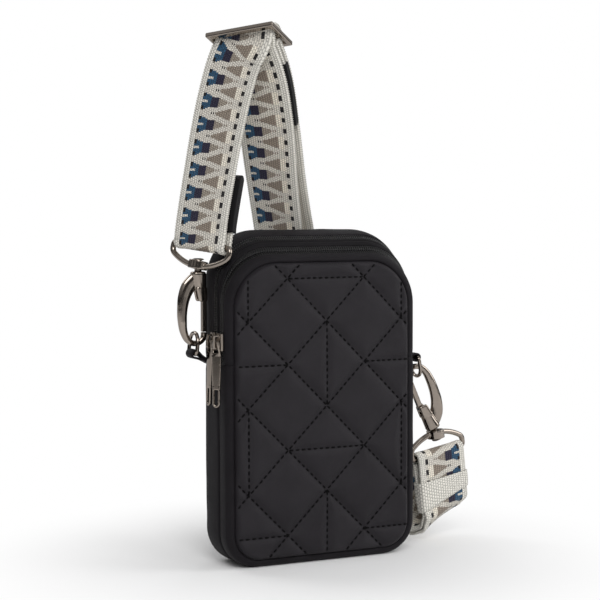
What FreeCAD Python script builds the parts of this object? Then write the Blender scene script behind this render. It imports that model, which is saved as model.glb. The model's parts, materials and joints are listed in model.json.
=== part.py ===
import FreeCAD, Part
import math
import os

import Sketcher

Vector = FreeCAD.Vector
Rotation = FreeCAD.Rotation
Placement = FreeCAD.Placement

doc = FreeCAD.newDocument("PhonePouch")

# Driving dimensions, in millimetres and degrees
# The pouch stands on its base at z = 0, its front faces -Y and the middle of its depth is y = 0
SIZES = [
    # pouch outlines
    ("panel_narrowing", 10.0, "front panel narrower than the fullest sides"),
    ("panel_foot", 4.0, "height of the front panel's lower seam"),
    ("panel_top_radius", 27.0, "upper corners of the front panel"),
    ("panel_low_radius", 16.0, "lower corners of the front panel"),
    ("panel_thick", 3.6, "padding of the front panel"),
    ("panel_round", 1.6, "rounded edge of the front and back panels"),
    ("body_width", 124.0, "pouch across its fullest sides"),
    ("body_top_radius", 30.0, "upper corners of the bands"),
    ("body_low_radius", 20.0, "lower corners of the bands"),
    ("rear_height", 195.0, "highest line of the rear band"),
    ("rear_rise_drop", 2.0, "top of the rear band behind its zip, below the highest line"),
    ("middle_drop", 6.0, "top of the pouch at the divider, below the highest line"),
    ("shoulder_drop", 15.0, "top of the front band behind the panel, below the highest line"),
    ("panel_drop", 18.0, "front panel's upper seam below the highest line"),
    ("back_drop", 7.0, "back panel's upper seam below the highest line"),
    ("rear_narrowing", 1.5, "rear band near the back seam, narrower than the fullest sides"),
    ("back_narrowing", 6.5, "back panel narrower than the rear band"),
    ("back_foot", 4.0, "height of the back panel's lower seam"),
    ("back_thick", 2.4, "padding of the back panel"),
    # pouch depths, measured from the middle of the depth
    ("front_seam_depth", 17.0, "front panel's seam ahead of the middle"),
    ("shoulder_depth", 14.2, "full width of the front band ahead of the middle"),
    ("divider_depth", 6.0, "divider ahead of the middle"),
    ("divider_thick", 1.2, "divider cloth"),
    ("rear_rise_depth", 2.0, "rear band's full rise behind the middle"),
    ("rear_full_depth", 14.0, "rear band's last full outline behind the middle"),
    ("back_seam_depth", 17.0, "back panel's seam behind the middle"),
    ("wall", 1.8, "cloth bands with their lining"),
    # zips
    ("zip_end_drop", 76.6, "seam where the zip bands end, below the highest line"),
    ("front_zip_depth", 11.5, "front zip ahead of the middle"),
    ("rear_zip_depth", 2.5, "rear zip ahead of the middle"),
    ("coil_half", 2.4, "half width of a closed zip chain"),
    ("coil_split", 1.1, "gap between the two coils that the slider's web runs in"),
    ("zip_slider_rise", 13.3, "middle of the closed sliders above the zip bands' end"),
    ("zip_slider_long", 10.0, "slider along the zip"),
    ("zip_slider_wide", 6.6, "slider's outer plate across the zip"),
    ("zip_inner_wide", 5.0, "slider's inner plate across the zip"),
    ("zip_plate", 1.4, "slider's outer and inner plates"),
    ("zip_play", 0.4, "slider's plates clear of the zip"),
    ("zip_web", 0.5, "slider's web between the coils"),
    ("bridge_high", 3.6, "slider's bridge above its plate"),
    ("bridge_wide", 2.2, "slider's bridge across the zip"),
    ("bridge_wire", 1.0, "metal of the bridge"),
    ("pull_long", 38.0, "zip pull below its pivot"),
    ("pull_wide", 5.6, "zip pull at its widest"),
    ("pull_tip_wide", 4.2, "zip pull at its end"),
    ("pull_thick", 1.6, "zip pull"),
    ("pull_window_wide", 3.0, "window that the bridge passes through"),
    ("pull_window_long", 5.2, "window below the pivot bar"),
    ("pull_slot_wide", 2.0, "slot near the end of the pull"),
    ("pull_slot_long", 9.0, "slot near the end of the pull"),
    ("pull_end_margin", 3.0, "metal below the slot"),
    # tabs and rings
    ("ring_depth", 8.3, "tabs, rings and hooks behind the middle"),
    ("ring_wire", 2.3, "thickness of the rings"),
    ("ring_inner", 10.2, "ring's clear width"),
    ("ring_reach", 12.1, "from a ring's bar to the middle of its bow"),
    ("bow_play", 2.25, "ring's bow clear of the claw's bend"),
    ("tab_wide", 9.0, "tabs along the ring's bar"),
    ("tab_layer", 1.3, "one layer of a folded tab"),
    ("tab_play", 0.3, "tab clear of the ring's bar"),
    ("left_tab_reach", 11.6, "left tab from the band's side to the ring's bar"),
    ("right_tab_reach", 14.2, "right tab from the band's side to the ring's bar"),
    ("left_tab_rise", 28.0, "left tab above the level, degrees"),
    ("right_tab_rise", -12.0, "right tab above the level, degrees"),
    ("left_ring_lean", 6.0, "left ring from the upright, degrees"),
    ("right_ring_lean", 10.0, "right ring from the plumb line, degrees"),
    ("right_hook_lean", 23.5, "right hook from the plumb line, degrees"),
    ("left_eye_lean", 13.0, "left eye from the upright, degrees"),
    ("right_eye_lean", 8.0, "right eye from the plumb line, degrees"),
    # hooks
    ("claw_wire", 4.4, "thickness of the claw"),
    ("claw_wide", 13.2, "claw between the middles of its two legs"),
    ("claw_drop", 40.8, "from the hook's shoulder to the middle of the claw's bend"),
    ("claw_tip_rise", 5.8, "claw's end face above the middle of its bend"),
    ("claw_low_radius", 7.4, "claw's bend on its long leg"),
    ("claw_top_radius", 14.0, "claw's bend below the housing"),
    ("claw_shoulder_drop", 18.0, "end of the claw's straight leg below the shoulder"),
    ("gate_side", 3.4, "gate and claw end beside the swivel axis"),
    ("housing_long", 17.0, "housing of the gate's pivot"),
    ("housing_top_wide", 9.2, "housing at the shoulder"),
    ("housing_low_wide", 5.4, "housing at its lower end"),
    ("housing_shift", 2.2, "lower end of the housing beside the swivel axis"),
    ("web_thick", 3.4, "plate between housing and claw"),
    ("gate_slot", 3.4, "slot in the housing"),
    ("gate_slot_long", 7.0, "slot above the housing's lower end"),
    ("gate_play", 0.3, "gate clear of its slot and of the claw"),
    ("gate_wide", 3.0, "gate in the plane of the hook"),
    ("pin_drop", 14.6, "gate's pin below the shoulder"),
    ("pin_wide", 1.5, "gate's pin"),
    ("pin_fit", 0.05, "running fit round a pin"),
    ("spring_thick", 0.5, "leaf spring behind the gate"),
    ("post_wide", 4.2, "swivel post"),
    ("post_head_wide", 7.4, "riveted head of the post"),
    ("post_head_high", 1.3, "riveted head of the post"),
    ("collar_wide", 11.2, "collar of the eye"),
    ("collar_high", 5.0, "collar of the eye"),
    ("collar_bore_wide", 7.0, "collar's loose bore"),
    ("collar_play", 1.8, "collar clear of the shoulder and of the head"),
    ("eye_wire", 3.4, "thickness of the eye"),
    ("eye_play", 0.5, "eye clear of each strap edge"),
    ("eye_bar_height", 16.4, "eye's bar above the hook's shoulder"),
    ("eye_bowl_radius", 36.0, "eye's bow below the strap"),
    ("eye_low_radius", 4.0, "eye's lower corners"),
    ("eye_top_radius", 2.5, "eye's upper corners"),
    ("left_eye_turn", -61.0, "left eye's bar, from +X towards +Y, degrees"),
    ("right_eye_turn", 11.0, "right eye's bar, from +X towards +Y, degrees"),
    # strap and its slider
    ("strap_wide", 38.0, "webbing"),
    ("strap_thick", 1.9, "webbing"),
    ("strap_play", 0.5, "webbing clear of the metal that it goes round"),
    ("frame_long", 44.0, "strap slider across the strap"),
    ("frame_wide", 27.0, "strap slider along the strap"),
    ("frame_thick", 3.2, "strap slider"),
    ("frame_bar", 4.4, "strap slider's bars"),
    ("frame_round", 0.8, "strap slider's edges"),
    ("frame_x", -40.6, "middle of the strap slider's front bar"),
    ("frame_y", 8.5, "middle of the strap slider's front bar"),
    ("frame_rise", 116.5, "strap slider's front bar above the highest line"),
    ("frame_turn", -53.0, "strap slider's bars, from +X towards +Y, degrees"),
    ("frame_dip", 21.0, "strap slider's fall to the back, degrees"),
    ("left_flap_long", 41.0, "sewn-back end of the strap at the left eye"),
    ("slider_flap_long", 47.0, "sewn-back end of the strap at the strap slider"),
    ("cover_long", 36.0, "black covers over the strap's ends"),
    ("cover_thick", 0.9, "one wall of a cover"),
    ("cover_past", 1.5, "cover past the cut end"),
    ("keeper_long", 11.5, "keeper along the strap"),
    ("keeper_thick", 1.4, "keeper's webbing"),
    ("keeper_play", 0.4, "keeper clear of the strap"),
    ("keeper_start", 15.0, "from the right eye's bar to the keeper"),
    ("pair_drop", 5.0, "start of the doubled strap below the slider's centre bar"),
    ("rear_run_x", 1.8, "doubled strap beside the middle at the pouch's top"),
    ("fold_drop", 30.0, "from the right eye's bar to the strap's fold"),
    ("fold_radius", 10.0, "middle of the doubled strap in its fold"),
    ("fold_slant", 17.0, "fold across the strap, degrees"),
    ("overrun", 1.0, "cuts past a face"),
]

# Sizes that follow from the driving ones
DERIVED = [
    ("panel_width", "body_width - panel_narrowing", "front panel between its side seams"),
    ("rear_width", "body_width - rear_narrowing", "rear band near the back seam"),
    ("back_width", "rear_width - back_narrowing", "back panel between its side seams"),
    ("panel_height", "rear_height - panel_drop - panel_foot", "front panel between its seams"),
    ("shoulder_height", "rear_height - shoulder_drop", "top of the front band behind the panel"),
    ("middle_height", "rear_height - middle_drop", "top of the pouch at the divider"),
    ("rear_rise_height", "rear_height - rear_rise_drop", "top of the rear band behind its zip"),
    ("back_height", "rear_height - back_drop - back_foot", "back panel between its seams"),
    ("zip_end_height", "rear_height - zip_end_drop", "seam where the zip bands end"),
    ("zip_slider_height", "zip_end_height + zip_slider_rise", "middle of the closed sliders"),
    ("frame_z", "rear_height + frame_rise", "middle of the strap slider's front bar"),
    ("claw_tip_drop", "claw_drop - claw_tip_rise", "from the hook's shoulder to the claw's end face"),
]

# Left run from the eye to the slider: shares of the way, and of its length to the side
LEFT_SHARES = [(0.10, 0.012), (0.35, 0.030), (0.59, 0.042), (0.74, 0.042), (0.91, 0.026)]

# Doubled strap from the slider to the pouch's top: shares of the way, and of its length to the side
# Each point also has half the spacing of the two layers, as a share of their thickness
UPPER_SHARES = [(0.12, 0.022, 2.45), (0.42, 0.026, 1.85), (0.71, 0.010, 2.3)]
CREST_SPREAD_SHARE = 2.9
CREST_GAP_SHARE = 0.55

# Doubled strap behind the pouch: shares of the way across and down, and of half its width off the back
LOWER_SHARES = [(0.12, 0.28, 1.22), (0.32, 0.48, 1.18), (0.58, 0.66, 0.95), (0.82, 0.85, 0.64)]
CLOSE_SPREAD_SHARE = 0.75
FOLD_STATIONS = 4
RIBBON_STEPS = 4
LOOP_STEPS = 8

# Rounded corners, as shares of the largest that fits
RING_CORNER_SHARE = 0.7
BOW_SHARE = 0.98
ROUND_SHARE = 0.99

# Claw's last corner and its end in the housing, as shares of its upper bend
CLAW_TOP_SHARES = (0.48, 1.08)

# Bridge along the slider, and the pull's narrow ends
BRIDGE_LONG_SHARE = 0.8
PULL_TOP_SHARE = 0.8
PULL_TIP_SHARE = 0.6

# Corners of the plate between housing and claw, as shares of the claw's width and drop
WEB_SHARES = [(0.06, -0.02), (-0.40, -0.12), (-0.67, -0.26), (-0.47, -0.34), (0.10, -0.27)]


def make_sheet():
    sheet = doc.addObject("Spreadsheet::Sheet", "Sizes")
    formulas = [(alias, "=" + formula, note) for alias, formula, note in DERIVED]
    for row, (alias, value, note) in enumerate(SIZES + formulas, start=1):
        sheet.set("A%d" % row, alias)
        sheet.set("B%d" % row, str(value))
        sheet.setAlias("B%d" % row, alias)
        sheet.set("C%d" % row, note)
    doc.recompute()
    return sheet


sheet = make_sheet()
size = {alias: float(sheet.get(alias)) for alias, value, note in SIZES + DERIVED}
nodes = []


def bind(item, **expressions):
    for prop, expression in expressions.items():
        item.setExpression(prop.replace("__", "."), expression)
    return item


def cell(alias):
    return "Sizes." + alias


def node(item, label, place=None):
    item.Label = label
    if place is not None:
        item.Placement = place
    nodes.append(item)
    return item


# Outlines, bands and panels of the pouch

def outline_sketch(owner, name, depth, width, foot, height, top_radius, low_radius):
    """Rounded outline in the XZ plane at a depth, every size bound to an expression."""
    sketch = doc.addObject("Sketcher::SketchObject", name) if owner is None else owner.newObject(
        "Sketcher::SketchObject", name)
    if owner is None:
        sketch.Placement = Placement(Vector(0, 0, 0), Rotation(Vector(1, 0, 0), 90))
        sketch.setExpression("Placement.Base.y", depth)
    else:
        plane = [item for item in owner.Origin.OriginFeatures if item.Role == "XZ_Plane"][0]
        sketch.AttachmentSupport = [(plane, "")]
        sketch.MapMode = "FlatFace"
        sketch.setExpression("AttachmentOffset.Base.z", "-(%s)" % depth)
    half, top, low = size["body_width"] / 2, size["panel_top_radius"], size["panel_low_radius"]
    tall = size["panel_height"]
    out = Vector(0, 0, 1)
    quarter = math.pi / 2

    def line(x1, y1, x2, y2):
        return Part.LineSegment(Vector(x1, y1, 0), Vector(x2, y2, 0))

    def arc(x, y, radius, quarters):
        circle = Part.Circle(Vector(x, y, 0), out, radius)
        return Part.ArcOfCircle(circle, quarters * quarter, (quarters + 1) * quarter)

    sketch.addGeometry([
        line(-half + low, 0, half - low, 0),
        arc(half - low, low, low, -1),
        line(half, low, half, tall - top),
        arc(half - top, tall - top, top, 0),
        line(half - top, tall, -half + top, tall),
        arc(-half + top, tall - top, top, 1),
        line(-half, tall - top, -half, low),
        arc(-half + low, low, low, 2),
    ], False)
    rules = [Sketcher.Constraint("Tangent", i, 2, (i + 1) % 8, 1) for i in range(8)]
    rules += [Sketcher.Constraint("Vertical", 2), Sketcher.Constraint("Vertical", 6)]
    rules += [Sketcher.Constraint("Horizontal", 4)]
    rules += [Sketcher.Constraint("Symmetric", 0, 1, 0, 2, -2)]
    rules += [Sketcher.Constraint("Equal", 3, 5), Sketcher.Constraint("Equal", 1, 7)]
    sketch.addConstraint(rules)
    drivers = [
        (Sketcher.Constraint("Radius", 3, top), top_radius),
        (Sketcher.Constraint("Radius", 1, low), low_radius),
        (Sketcher.Constraint("DistanceX", 6, 2, 2, 1, 2 * half), width),
        (Sketcher.Constraint("DistanceY", 0, 1, 4, 1, tall), height),
        (Sketcher.Constraint("DistanceY", -1, 1, 0, 1, size["panel_foot"]), foot),
    ]
    for rule, expression in drivers:
        index = sketch.addConstraint(rule)
        sketch.setExpression("Constraints[%d]" % index, expression)
    return sketch


def shell(name, stations):
    """Band of even wall, ruled between rounded outlines at several depths."""
    lofts = []
    for kind, inset in (("Outer", "0 * " + cell("wall")), ("Inner", cell("wall"))):
        sections = []
        for index, (depth, width, foot, height, top, low) in enumerate(stations):
            sections.append(outline_sketch(
                None, "%s%s%d" % (name, kind, index), depth,
                "%s - 2 * %s" % (width, inset), "%s + %s" % (foot, inset),
                "%s - 2 * %s" % (height, inset), "%s - %s" % (top, inset), "%s - %s" % (low, inset)))
        loft = doc.addObject("Part::Loft", name + kind + "Loft")
        loft.Sections = sections
        loft.Solid = True
        loft.Ruled = True
        lofts.append(loft)
    cut = doc.addObject("Part::Cut", name + "Shell")
    cut.Base, cut.Tool = lofts
    return lofts[0], cut


def slice_box(name, y_from, y_to, z_from, z_to):
    """Block across the whole width, between two depths and two heights."""
    box = doc.addObject("Part::Box", name)
    bind(box, Length="2 * " + cell("body_width"), Width="(%s) - (%s)" % (y_to, y_from),
         Height="(%s) - (%s)" % (z_to, z_from), Placement__Base__x="-" + cell("body_width"),
         Placement__Base__y=y_from, Placement__Base__z=z_from)
    return box


def band_piece(label, whole, y_from, y_to, z_from, z_to):
    piece = doc.addObject("Part::Common", "Piece_" + label)
    piece.Base = whole
    piece.Tool = slice_box("Slice_" + label, y_from, y_to, z_from, z_to)
    return node(piece, label)


def panel(label, depth, width, foot, height, top, low, thick, towards_front, rounded):
    """Flat panel with rounded corners, its free edge softened."""
    body = doc.addObject("PartDesign::Body", "Body_" + label)
    sketch = outline_sketch(body, "Outline_" + label, depth, width, foot, height, top, low)
    pad = body.newObject("PartDesign::Pad", "Pad_" + label)
    pad.Profile = sketch
    pad.Reversed = not towards_front
    pad.setExpression("Length", thick)
    doc.recompute()
    if rounded:
        free_y = pad.Shape.BoundBox.YMin if towards_front else pad.Shape.BoundBox.YMax
        names = []
        for index, edge in enumerate(pad.Shape.Edges, start=1):
            if all(abs(vertex.Y - free_y) < size["wall"] / 10 for vertex in edge.Vertexes):
                names.append("Edge%d" % index)
        fillet = body.newObject("PartDesign::Fillet", "Round_" + label)
        fillet.Base = (pad, names)
        fillet.setExpression("Radius", cell("panel_round"))
    return node(body, label)


def make_pouch():
    body_wide, low, top = cell("body_width"), cell("body_low_radius"), cell("body_top_radius")
    zero = "0 * " + cell("wall")
    front_end = "-%s - %s / 2" % (cell("divider_depth"), cell("divider_thick"))
    rear_end = "-%s + %s / 2" % (cell("divider_depth"), cell("divider_thick"))
    front_seam = "-" + cell("front_seam_depth")
    back_seam = cell("back_seam_depth")
    front_outer, front_shell = shell("Front", [
        (front_seam, cell("panel_width"), cell("panel_foot"), cell("panel_height"),
         cell("panel_top_radius"), cell("panel_low_radius")),
        ("-" + cell("shoulder_depth"), body_wide, zero, cell("shoulder_height"), top, low),
        (front_end, body_wide, zero, cell("middle_height"), top, low),
    ])
    rear_outer, rear_shell = shell("Rear", [
        (rear_end, body_wide, zero, cell("middle_height"), top, low),
        (cell("rear_rise_depth"), body_wide, zero, cell("rear_rise_height"), top, low),
        (cell("rear_full_depth"), cell("rear_width"), zero, cell("rear_height"), top, low),
        (back_seam, cell("back_width"), cell("back_foot"), cell("back_height"), top, low),
    ])
    sky = cell("rear_height") + " + " + cell("overrun")
    ground = "-" + cell("overrun")
    zip_end = cell("zip_end_height")
    for part, whole, start, end in (("front", front_shell, front_seam, front_end),
                                    ("rear", rear_shell, rear_end, back_seam)):
        middle = "-" + cell(part + "_zip_depth")
        fore = "%s - %s" % (middle, cell("coil_half"))
        aft = "%s + %s" % (middle, cell("coil_half"))
        split_fore = "%s - %s / 2" % (middle, cell("coil_split"))
        split_aft = "%s + %s / 2" % (middle, cell("coil_split"))
        band_piece(part + "_lower_gusset", whole, start, end, ground, zip_end)
        band_piece(part + "_zip_fore_tape", whole, start, fore, zip_end, sky)
        band_piece(part + "_zip_fore_coil", whole, fore, split_fore, zip_end, sky)
        band_piece(part + "_zip_aft_coil", whole, split_aft, aft, zip_end, sky)
        band_piece(part + "_zip_aft_tape", whole, aft, end, zip_end, sky)
    panel("front_panel", front_seam, cell("panel_width"), cell("panel_foot"), cell("panel_height"),
          cell("panel_top_radius"), cell("panel_low_radius"), cell("panel_thick"), True, True)
    panel("divider_panel", rear_end, body_wide, zero, cell("middle_height"), top, low,
          cell("divider_thick"), True, False)
    panel("back_panel", back_seam, cell("back_width"), cell("back_foot"), cell("back_height"),
          top, low, cell("back_thick"), False, True)
    return rear_outer


# Rods: round metal bent along straight runs and arcs, in a local XZ plane

def rounded_path(points, radii, closed):
    """Edges of a bent line in the local XY plane of a sketch, each corner rounded by its radius."""
    count = len(points)
    corners = []
    for index in range(count):
        here = points[index]
        if index == 0 or (index == count - 1 and not closed):
            corners.append((here, here, None))
            continue
        back = (points[index - 1] - here).normalize()
        ahead = (points[(index + 1) % count] - here).normalize()
        half_turn = (math.pi - back.getAngle(ahead)) / 2
        reach = radii[index] * math.tan(half_turn)
        inward = (back + ahead).normalize()
        middle = here + inward * (radii[index] / math.cos(half_turn) - radii[index])
        corners.append((here + back * reach, here + ahead * reach, middle))
    edges = []
    for index in range(count):
        start, end, middle = corners[index]
        if middle is not None:
            edges.append(Part.Arc(start, middle, end))
        if closed or index < count - 1:
            follow = corners[(index + 1) % count][0]
            if end.distanceToPoint(follow) > size["pin_fit"] / 10:
                edges.append(Part.LineSegment(end, follow))
    return edges


def rod(name, points, radii, wire, closed=False):
    """Round rod swept along a rounded path that lies in the local XZ plane."""
    path = doc.addObject("Sketcher::SketchObject", name + "Path")
    path.Placement = Placement(Vector(0, 0, 0), Rotation(Vector(1, 0, 0), 90))
    flat = [Vector(x, z, 0) for x, z in points]
    path.addGeometry(rounded_path(flat, radii, closed), False)
    doc.recompute()
    first = path.Shape.Edges[-1] if closed else path.Shape.OrderedEdges[0]
    start = first.valueAt(first.FirstParameter)
    along = first.tangentAt(first.FirstParameter)
    ring = doc.addObject("Part::Circle", name + "Ring")
    ring.setExpression("Radius", wire + " / 2")
    ring.Placement = Placement(start, Rotation(Vector(0, 0, 1), along))
    sweep = doc.addObject("Part::Sweep", name + "Sweep")
    sweep.Sections = [ring]
    sweep.Spine = (path, ["Edge%d" % (index + 1) for index in range(len(path.Shape.Edges))])
    sweep.Solid = True
    sweep.Frenet = False
    return sweep


def cylinder(name, radius, height, base, axis):
    item = doc.addObject("Part::Cylinder", name)
    bind(item, Radius=radius, Height=height)
    item.Placement = Placement(base, Rotation(Vector(0, 0, 1), axis))
    return item


def block(name, length, width, height, centre, rotation=Rotation()):
    """Block of bound sizes, placed by its centre."""
    item = doc.addObject("Part::Box", name)
    bind(item, Length=length, Width=width, Height=height)
    doc.recompute()
    half = Vector(item.Length.Value, item.Width.Value, item.Height.Value) * 0.5
    item.Placement = Placement(centre - rotation.multVec(half), rotation)
    return item


def fuse(name, items):
    joined = doc.addObject("Part::MultiFuse", name)
    joined.Shapes = items
    joined.Refine = True
    return joined


def cut(name, base, tools):
    result = doc.addObject("Part::Cut", name)
    result.Base = base
    result.Tool = tools[0] if len(tools) == 1 else fuse(name + "Tools", tools)
    return result


X, Y, Z = Vector(1, 0, 0), Vector(0, 1, 0), Vector(0, 0, 1)


# Tabs and rings

def bar_place(side):
    """Middle of a ring's bar: the end of its tab, beside the rear band."""
    sign = -1 if side == "left" else 1
    share = (size["ring_depth"] - size["rear_rise_depth"]) / (
        size["rear_full_depth"] - size["rear_rise_depth"])
    half_width = (size["body_width"] + (size["rear_width"] - size["body_width"]) * share) / 2
    rise = math.radians(size[side + "_tab_rise"])
    reach = size[side + "_tab_reach"]
    return Vector(sign * (half_width + reach * math.cos(rise)), size["ring_depth"],
                  size["zip_end_height"] + reach * math.sin(rise))


def ring_tilt(side):
    """Turn about +Y that takes an upright ring to its rest."""
    return size["left_ring_lean"] if side == "left" else 180.0 - size["right_ring_lean"]


def make_tab(side, rear_outer):
    sign = -1 if side == "left" else 1
    bar = bar_place(side)
    name = side.capitalize() + "Tab"
    start = bar - Y * (size["tab_wide"] / 2)
    hole_radius = "%s / 2 + %s" % (cell("ring_wire"), cell("tab_play"))
    eye = cylinder(name + "Eye", "%s + %s" % (hole_radius, cell("tab_layer")), cell("tab_wide"), start, Y)
    long = 2 * size[side + "_tab_reach"]
    lean = Rotation(Y, sign * size[side + "_tab_rise"] * -1)
    towards_side = lean.multVec(X) * -sign
    plate = block(name + "Plate", "2 * " + cell(side + "_tab_reach"), cell("tab_wide"),
                  "2 * " + cell("tab_layer"), bar + towards_side * (long / 2), lean)
    hole = cylinder(name + "Hole", hole_radius, "%s + 2 * %s" % (cell("tab_wide"), cell("overrun")),
                    start - Y * size["overrun"], Y)
    whole = cut(name + "Folded", fuse(name + "Whole", [eye, plate]), [hole])
    node(cut(name + "Sewn", whole, [rear_outer]), side + "_tab")


def make_ring(side):
    half = (size["ring_inner"] + size["ring_wire"]) / 2
    reach = size["ring_reach"]
    corner, bow = size["ring_wire"] * RING_CORNER_SHARE, half * BOW_SHARE
    ring = rod(side.capitalize() + "Ring",
               [(0, 0), (half, 0), (half, reach), (-half, reach), (-half, 0)],
               [0, corner, bow, bow, corner], cell("ring_wire"), closed=True)
    rotation = Rotation(Y, ring_tilt(side)).multiply(Rotation(Z, 90))
    node(ring, side + "_d_ring", Placement(bar_place(side), rotation))


def bow_place(side):
    return bar_place(side) + Rotation(Y, ring_tilt(side)).multVec(Z) * size["ring_reach"]


# Hooks: local X runs across the hook, local Z up the swivel axis from its shoulder

def hook_rotation(side):
    return Rotation() if side == "left" else Rotation(Y, 180.0 - size["right_hook_lean"])


def claw_bed():
    """Where a ring's bow rests in the claw, in the hook's own frame."""
    middle = size["gate_side"] - size["claw_wide"] + size["claw_low_radius"]
    lift = size["claw_wire"] / 2 + size["ring_wire"] / 2 + size["bow_play"]
    return Vector(middle, 0, -size["claw_drop"] + lift)


def hook_place(side):
    rotation = hook_rotation(side)
    return Placement(bow_place(side) - rotation.multVec(claw_bed()), rotation)


def housing_frame():
    """Tilt of the housing, whose lower end stands beside the swivel axis."""
    lean = math.degrees(math.atan2(size["housing_shift"], size["housing_long"]))
    return Rotation(Y, -lean), Vector(size["housing_shift"], 0, -size["housing_long"])


def make_hook(side):
    name = side.capitalize() + "Hook"
    place = hook_place(side)
    gate_x, drop = size["gate_side"], size["claw_drop"]
    far_x = gate_x - size["claw_wide"]
    near_radius = (drop - size["claw_tip_drop"]) * ROUND_SHARE
    corner_share, end_share = CLAW_TOP_SHARES
    top_radius, shoulder = size["claw_top_radius"], size["claw_shoulder_drop"]
    claw = rod(name + "Claw",
               [(gate_x, -size["claw_tip_drop"]), (gate_x, -drop), (far_x, -drop),
                (far_x, top_radius * corner_share - shoulder), (0, top_radius * end_share - shoulder)],
               [0, near_radius, size["claw_low_radius"], top_radius, 0],
               cell("claw_wire"))
    tilt, low_end = housing_frame()
    housing = doc.addObject("Part::Cone", name + "Housing")
    bind(housing, Radius1=cell("housing_low_wide") + " / 2", Radius2=cell("housing_top_wide") + " / 2",
         Height=cell("housing_long"))
    housing.Placement = Placement(low_end, tilt)
    web_points = [Vector(x * size["claw_wide"], -size["web_thick"] / 2, z * drop) for x, z in WEB_SHARES]
    web = doc.addObject("Part::Feature", name + "Web")
    outline = Part.makePolygon(web_points + web_points[:1])
    web.Shape = Part.Face(outline).extrude(Y * size["web_thick"])
    head_base = 2 * size["collar_play"] + size["collar_high"]
    post = cylinder(name + "Post", cell("post_wide") + " / 2",
                    "2 * %s + %s + %s" % (cell("collar_play"), cell("collar_high"), cell("post_head_high")),
                    Vector(0, 0, 0), Z)
    head = cylinder(name + "Head", cell("post_head_wide") + " / 2", cell("post_head_high"),
                    Vector(0, 0, head_base), Z)
    slot_long = size["gate_slot_long"]
    slot = block(name + "Slot", cell("housing_top_wide"), cell("gate_slot"),
                 "%s + %s" % (cell("gate_slot_long"), cell("overrun")),
                 Vector(gate_x, 0, -size["housing_long"] + (slot_long - size["overrun"]) / 2))
    pin_hole = cylinder(name + "PinHole", cell("pin_wide") + " / 2", "2 * " + cell("housing_top_wide"),
                        Vector(gate_x, -size["housing_top_wide"], -size["pin_drop"]), Y)
    solid = cut(name + "Solid", fuse(name + "Cast", [claw, housing, web, post, head]), [slot, pin_hole])
    node(solid, side + "_hook_body", place)


def make_gate(side):
    name = side.capitalize() + "Gate"
    place = hook_place(side)
    gate_x = size["gate_side"]
    thick = "%s - 2 * %s" % (cell("gate_slot"), cell("gate_play"))
    top, low = -size["pin_drop"], -size["claw_tip_drop"] + size["gate_play"]
    bar = block(name + "Bar", cell("gate_wide"), thick,
                "%s - %s - %s" % (cell("claw_tip_drop"), cell("gate_play"), cell("pin_drop")),
                Vector(gate_x, 0, (top + low) / 2))
    start = Vector(gate_x, -(size["gate_slot"] - 2 * size["gate_play"]) / 2, top)
    knuckle = cylinder(name + "Knuckle", cell("gate_wide") + " / 2", thick, start, Y)
    hole = cylinder(name + "Hole", "%s / 2 + %s" % (cell("pin_wide"), cell("pin_fit")),
                    cell("housing_top_wide"), Vector(gate_x, -size["housing_top_wide"] / 2, top), Y)
    node(cut(name + "Solid", fuse(name + "Whole", [bar, knuckle]), [hole]), side + "_hook_gate", place)
    pin_long = size["housing_low_wide"]
    pin = cylinder(side.capitalize() + "Pin", cell("pin_wide") + " / 2", cell("housing_low_wide"),
                   Vector(gate_x, -pin_long / 2, top), Y)
    node(pin, side + "_gate_pin", place.multiply(pin.Placement))
    spring_top = -size["housing_long"] + size["gate_slot_long"]
    spring_low = top + size["gate_wide"] / 2 + size["gate_play"]
    spring = block(side.capitalize() + "Spring", cell("spring_thick"), thick,
                   "%s - %s + %s - %s / 2 - %s" % (cell("gate_slot_long"), cell("housing_long"),
                                                 cell("pin_drop"), cell("gate_wide"), cell("gate_play")),
                   Vector(gate_x - size["gate_wide"] / 2, 0, (spring_top + spring_low) / 2))
    node(spring, side + "_gate_spring", place.multiply(spring.Placement))


def eye_place(side):
    """Eye's own frame: local X along its bar, local Z along its collar's axis to the bar."""
    middle = size["collar_play"] + size["collar_high"] / 2
    centre = hook_place(side).multVec(Z * middle)
    turn = math.radians(size[side + "_eye_turn"])
    along = Vector(math.cos(turn), math.sin(turn), 0)
    if side == "left":
        axis = Rotation(Y, size["left_eye_lean"]).multVec(Z)
    else:
        axis = Rotation(Y, 180.0 - size["right_eye_lean"]).multVec(Z)
        along = along * -1
    along = square_to(along, axis)
    rotation = Rotation(along, axis.cross(along), axis, "ZXY")
    return Placement(centre - rotation.multVec(Z * middle), rotation)


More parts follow.
